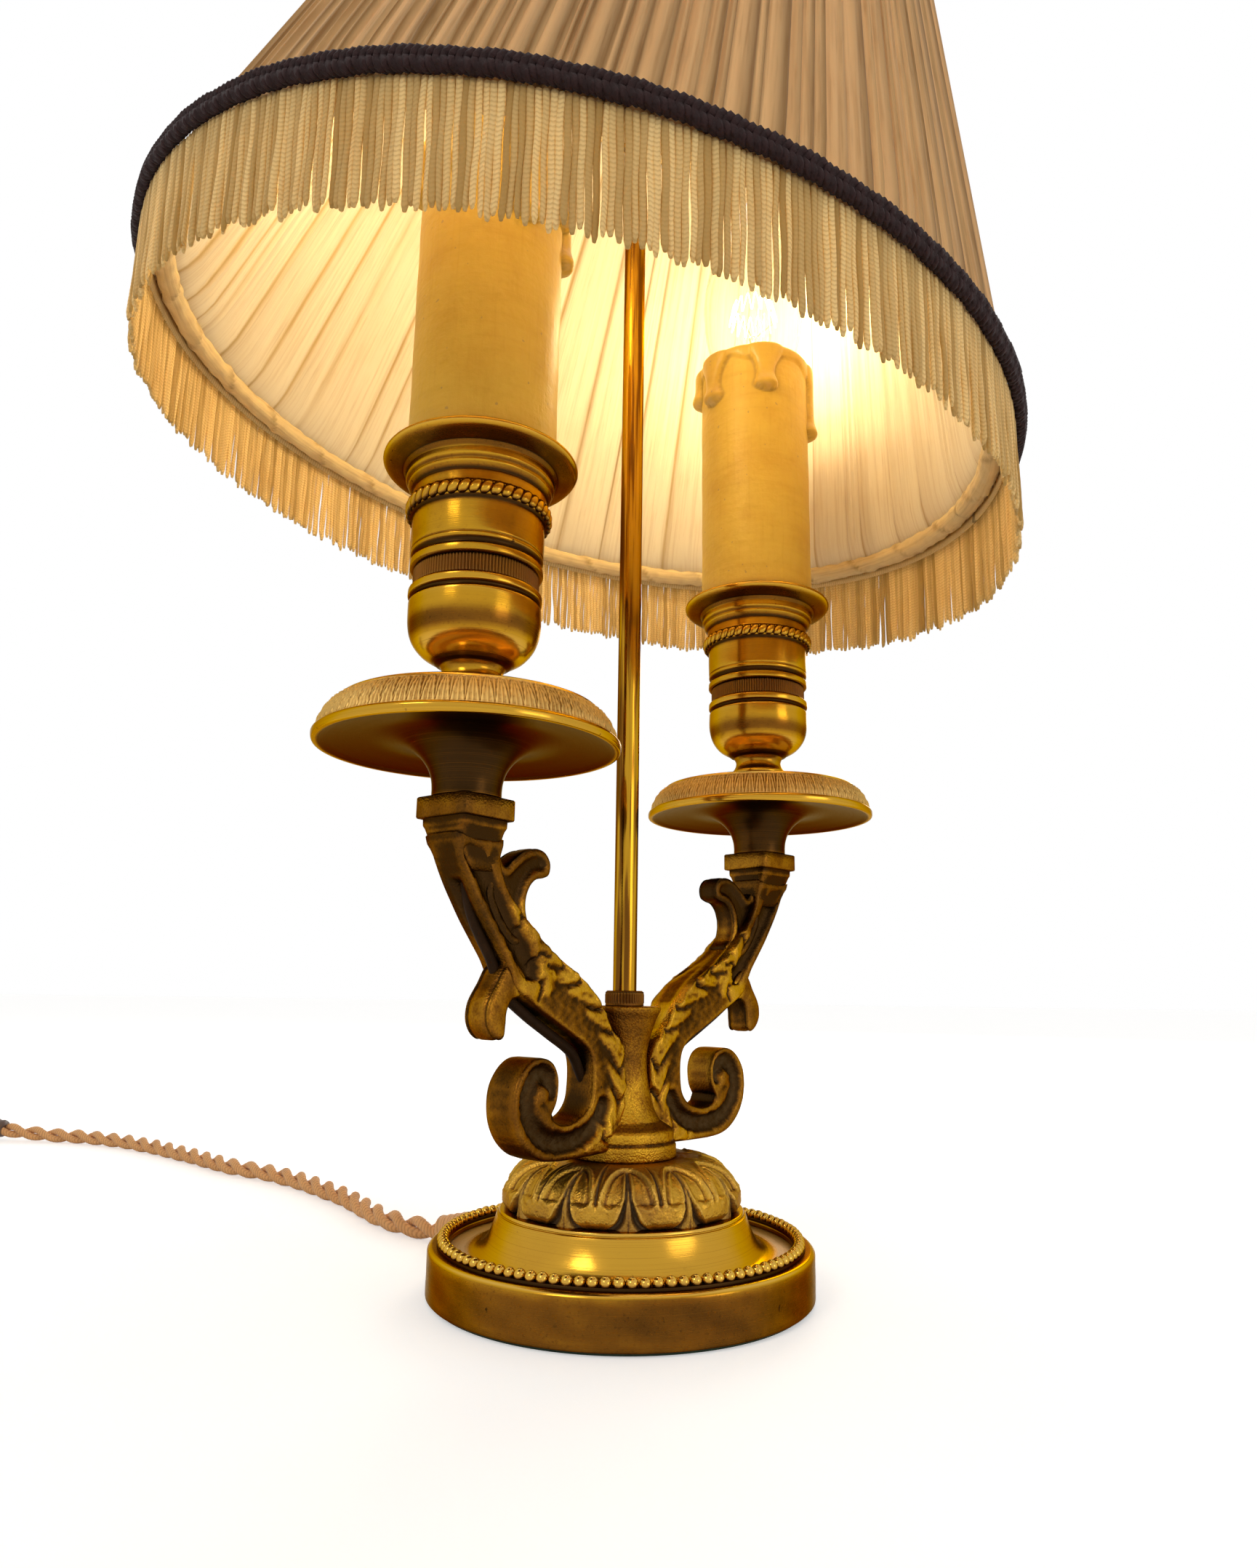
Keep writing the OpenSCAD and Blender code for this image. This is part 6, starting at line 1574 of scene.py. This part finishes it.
class LAMP_OT_shade(bpy.types.Operator):
    """Pleated cover and lining, and the ribbon wound round both rings"""

    bl_idname = "lamp.shade"
    bl_label = "Shade cloth"

    def execute(self, context):
        sizes = context.scene.lamp_sizes
        lining = self.sheet("lining", sizes.lining_pleats, 24, 21, 1.5, 0.35, 0.5, 147.0, SHADE_R - 3.3, "shade_lining",
                            "lining_cloth", inward=True, rows=40)
        cover = self.sheet("cover", sizes.cover_pleats, 10, 22, 1.4, 1.6, -1.15, 149.9, SHADE_R + 3.6, "shade_cover",
                           "cover_cloth", inward=False, rows=30)
        ribbons = self.ribbons()
        for cloth_piece, mean in ((lining, SHADE_R - 3.3), (cover, SHADE_R + 3.6)):
            wide = 1.3 * TAU * mean * MM
            slant = math.hypot(SHADE_H, SHADE_R - SHADE_TOP_R) * MM
            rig.sheet(cloth_piece, flat=(round(wide, 3), round(slant, 3)), held="gathered",
                     rests_on=["shade_wire_frame"], area=round(wide * slant * 0.81 / 1.3 * 1.1, 4),
                     with_pieces=[ribbons] if cloth_piece is lining else [])
        return {"FINISHED"}

    def sheet(self, name, pleats, samples, seed, depth, shading, low, high, mean, node, slot, inward, rows):
        angle, inset, fold = pleat_fan(pleats, samples, seed, depth, shading)
        height = np.linspace(low, high, rows)
        share = (height - low) / (high - low)
        crinkle = sum(np.sin(angle * n + p)[None] * np.sin(share * m + q)[:, None] for n, p, m, q in
                      ((311, 0.3, 3, 1), (467, 2.0, 5, 2), (173, 1.1, 2, 0)))
        calm = np.clip(np.minimum(share, 1 - share) * 9, 0, 1)[:, None]
        base = mean - SLOPE * height[:, None] + (2.2 * np.clip(1 - height / 6, 0, 1)[:, None] if inward else 0)
        toward = -1 if inward else 1
        radius = base + toward * (inset[None] * (0.2 + 0.8 * calm) + 0.09 * crinkle * calm - 0.3)
        drift = 0.0045 * np.sin(share * 3.1 + 1)[:, None] * np.sin(angle * 7)[None]
        turn = angle[None] + drift
        points = np.stack([radius * np.cos(turn), radius * np.sin(turn), np.broadcast_to(height[:, None], radius.shape)], -1)
        back = points.copy()
        scale = (radius + (-0.3)) / radius
        back[..., :2] *= scale[..., None]
        both = np.concatenate([points, back[::-1]])
        across = np.broadcast_to(angle[None] * mean * 0.82, radius.shape)
        along = np.broadcast_to(height[:, None], radius.shape)
        # The pleats' painted shade, passed on as a mark.
        deep = np.broadcast_to(fold[None], radius.shape)
        form = Form().skin(shade_place(both), looped=True, across=np.concatenate([across, across[::-1]]),
                           along=np.concatenate([along, along[::-1]]), fold=np.concatenate([deep, deep[::-1]]))
        return piece(name, form, "shade", finish(slot), slot, (node,))

    def ribbons(self):
        """Crumpled ribbon wound slantwise round both rings, with a thick overlap at each wrap."""
        form, pick = Form(), random.Random(8)
        for radius, height, wraps, thick in ((119.3, 0.0, 31, 2.95), (71.8, 150.0, 17, 2.2)):
            count, sides = wraps * 22, 16
            angle = np.arange(count) * TAU / count
            turn = np.arange(sides) * TAU / sides
            phase = (angle[:, None] * wraps / TAU + turn[None] / TAU * 0.8) % 1.0
            lap = np.exp(-((phase / 0.1) ** 2)) + np.exp(-(((1 - phase) / 0.035) ** 2))
            crease = 0.6 * np.sin(phase * 14 + 3 * np.sin(angle * 11)[:, None] + turn[None] * 2)
            crease = crease + 0.5 * np.sin(angle[:, None] * wraps * 3.7 - turn[None] * 3 + 2 * np.sin(angle * 5)[:, None])
            swell = np.repeat([pick.uniform(-0.1, 0.16) for _ in range(wraps)], 22)[:, None]
            girth = thick + 0.45 * lap + 0.28 * crease + swell
            out = radius + np.minimum(girth * np.cos(turn), 2.75)
            up = height + girth * np.sin(turn)
            rows = np.stack([out * np.cos(angle)[:, None], out * np.sin(angle)[:, None], up], -1)
            run = angle[:, None] * radius
            # Painted shade at each overlap and crease of the ribbon, passed on as a mark.
            form.skin(shade_place(rows), looped=True, across=np.broadcast_to(turn[None] * 3, out.shape),
                      along=np.broadcast_to(run, out.shape), fold=np.clip(0.7 * lap - 0.2 - crease * 0.3, 0, 0.8))
        return piece("ribbons", form, "shade", finish("ribbon"), "ribbon", ("ring_bindings",))


class LAMP_OT_trim(bpy.types.Operator):
    """Plaited braid round both edges and the hanging fringe"""

    bl_idname = "lamp.trim"
    bl_label = "Braid and fringe"

    def execute(self, context):
        sizes = context.scene.lamp_sizes
        for name, radius, middle, height, size, waves, node in (
            ("braid_low", 125.3, 1.2, 1.6, 1.0, 130, "braid_bottom"),
            ("braid_high", 78.3, 147.6, 1.25, 0.7, 84, "braid_top"),
        ):
            form = Form()
            count = waves * 12
            angle = np.arange(count) * TAU / count
            for k in range(4):
                phase = angle * waves + TAU * k / 4
                out = radius + 0.62 * size * np.sin(2 * phase) + 0.25 * np.sin(angle * 29) * 0.3
                up = middle + height * np.sin(phase) * (1 + 0.12 * np.sin(angle * 41 + k))
                path = np.stack([out * np.cos(angle), out * np.sin(angle), up], -1)
                rows = tube_rows(path, circle(size, 7), closed=True)
                run = np.broadcast_to((angle * radius)[:, None], rows.shape[:2])
                form.skin(shade_place(rows), looped=True, across=np.broadcast_to(circle(1.0, 7)[:, 0], rows.shape[:2]), along=run)
            piece(name, form, "shade", finish("braid"), "braid", (node,))
        self.fringe(sizes.strands, sizes.fringe)
        return {"FINISHED"}

    def fringe(self, count, drop):
        """Chained strands that hang straight down from a woven heading, with a few gaps and uneven ends."""
        form, pick = Form(), random.Random(21)
        heading = eased([(122.4, -1.0), (123.5, -1.0), (123.5, -3.6), (122.6, -3.6)], 0.3)
        rows = turned_rows(heading, 360)
        form.skin(shade_place(rows), looped=True, along=np.arange(360) * TAU / 360 * 124)
        sides, steps = 8, 20
        ring = circle(1.0, sides)
        gust = 0.0
        for k in range(count):
            turn = TAU * (k + pick.uniform(-0.1, 0.1)) / count
            top = shade_place([123.9 * math.cos(turn), 123.9 * math.sin(turn), -1.3])
            hub = shade_place([0, 0, 0])
            out = np.array([top[0] - hub[0], top[1] - hub[1], 0])
            out /= np.linalg.norm(out)
            side = np.array([-out[1], out[0], 0])
            gust = 0.88 * gust + pick.uniform(-0.34, 0.34)
            long = drop - 1.3 + pick.uniform(-1.4, 0.8)
            t = np.linspace(0, 1, steps)
            stray = gust * 0.6 + (pick.uniform(-2.2, 2.2) if pick.random() < 0.035 else 0)
            lean_in = pick.uniform(-0.7, 0.45)
            sway = stray * t ** 1.6 + 0.12 * np.sin(t * 9 + k)
            depth = lean_in * t + 0.08 * np.sin(t * 7 + k * 2)
            centre = top + sway[:, None] * side + depth[:, None] * out - np.array([0, 0, 1]) * (t * long)[:, None]
            wide = (pick.uniform(0.68, 0.8) + 0.02 * np.sin(t * 60 + k)) * np.clip((1.03 - t) * 14, 0.55, 1)
            twist = pick.uniform(-0.4, 0.4) + pick.uniform(-0.8, 0.8) * t
            across = side[None] * np.cos(twist)[:, None] + out[None] * np.sin(twist)[:, None]
            through = out[None] * np.cos(twist)[:, None] - side[None] * np.sin(twist)[:, None]
            rows = (centre[:, None] + across[:, None] * ring[:, :1] * wide[:, None, None]
                    + through[:, None] * ring[:, 1:] * (wide * 0.72)[:, None, None])
            # The same mark gives each strand a random darker tone.
            form.skin(rows[::-1], caps=True, fold=pick.uniform(0, 1.0) ** 1.5, across=np.broadcast_to(ring[:, 0], rows.shape[:2]),
                      along=np.broadcast_to((long * t[::-1])[:, None], rows.shape[:2]))
        piece("fringe", form, "shade", finish("fringe_yarn"), "fringe_yarn", ("shade_fringe",))


class LAMP_OT_carrier(bpy.types.Operator):
    """Sliding collar, swivel bracket, spider and wire frame under the cloth"""

    bl_idname = "lamp.carrier"
    bl_label = "Shade carrier"

    def execute(self, context):
        dress(finish("polished_gilt", False), "shade_collar", "thumbscrew", "tilt_bracket")
        dress(finish("thread_brass", False), "tilt_pin")
        dress(finish("frame_wire", False), "shade_spider", "shade_wire_frame")
        return {"FINISHED"}


# Add-on


class LAMP_PT_build(bpy.types.Panel):
    """Lists the pieces of the lamp and the sizes and colours they use"""

    bl_idname = "LAMP_PT_build"
    bl_label = "Lamp"
    bl_space_type = "VIEW_3D"
    bl_region_type = "UI"
    bl_category = "Lamp"

    def draw(self, context):
        for group in (context.scene.lamp_sizes, context.scene.lamp_colours):
            for name in group.__annotations__:
                self.layout.prop(group, name)
        for step in STEPS:
            self.layout.operator(step.bl_idname)


STEPS = [v for k, v in list(globals().items()) if k.startswith("LAMP_OT_")]
CLASSES = [LampColours, LampSizes, *STEPS, LAMP_PT_build]


def register():
    for made in CLASSES:
        bpy.utils.register_class(made)
    bpy.types.Scene.lamp_colours = PointerProperty(type=LampColours)
    bpy.types.Scene.lamp_sizes = PointerProperty(type=LampSizes)


def unregister():
    del bpy.types.Scene.lamp_sizes, bpy.types.Scene.lamp_colours
    for made in reversed(CLASSES):
        bpy.utils.unregister_class(made)


def main():
    register()
    for step in STEPS:
        group, name = step.bl_idname.split(".")
        getattr(getattr(bpy.ops, group), name)()
    dressed = [list(corner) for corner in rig.bounds()]
    with open("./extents.json", "w") as out:
        json.dump({"cad": [list(corner) for corner in CAD_BOX], "dressed": dressed}, out)


if __name__ == "__main__":
    main()
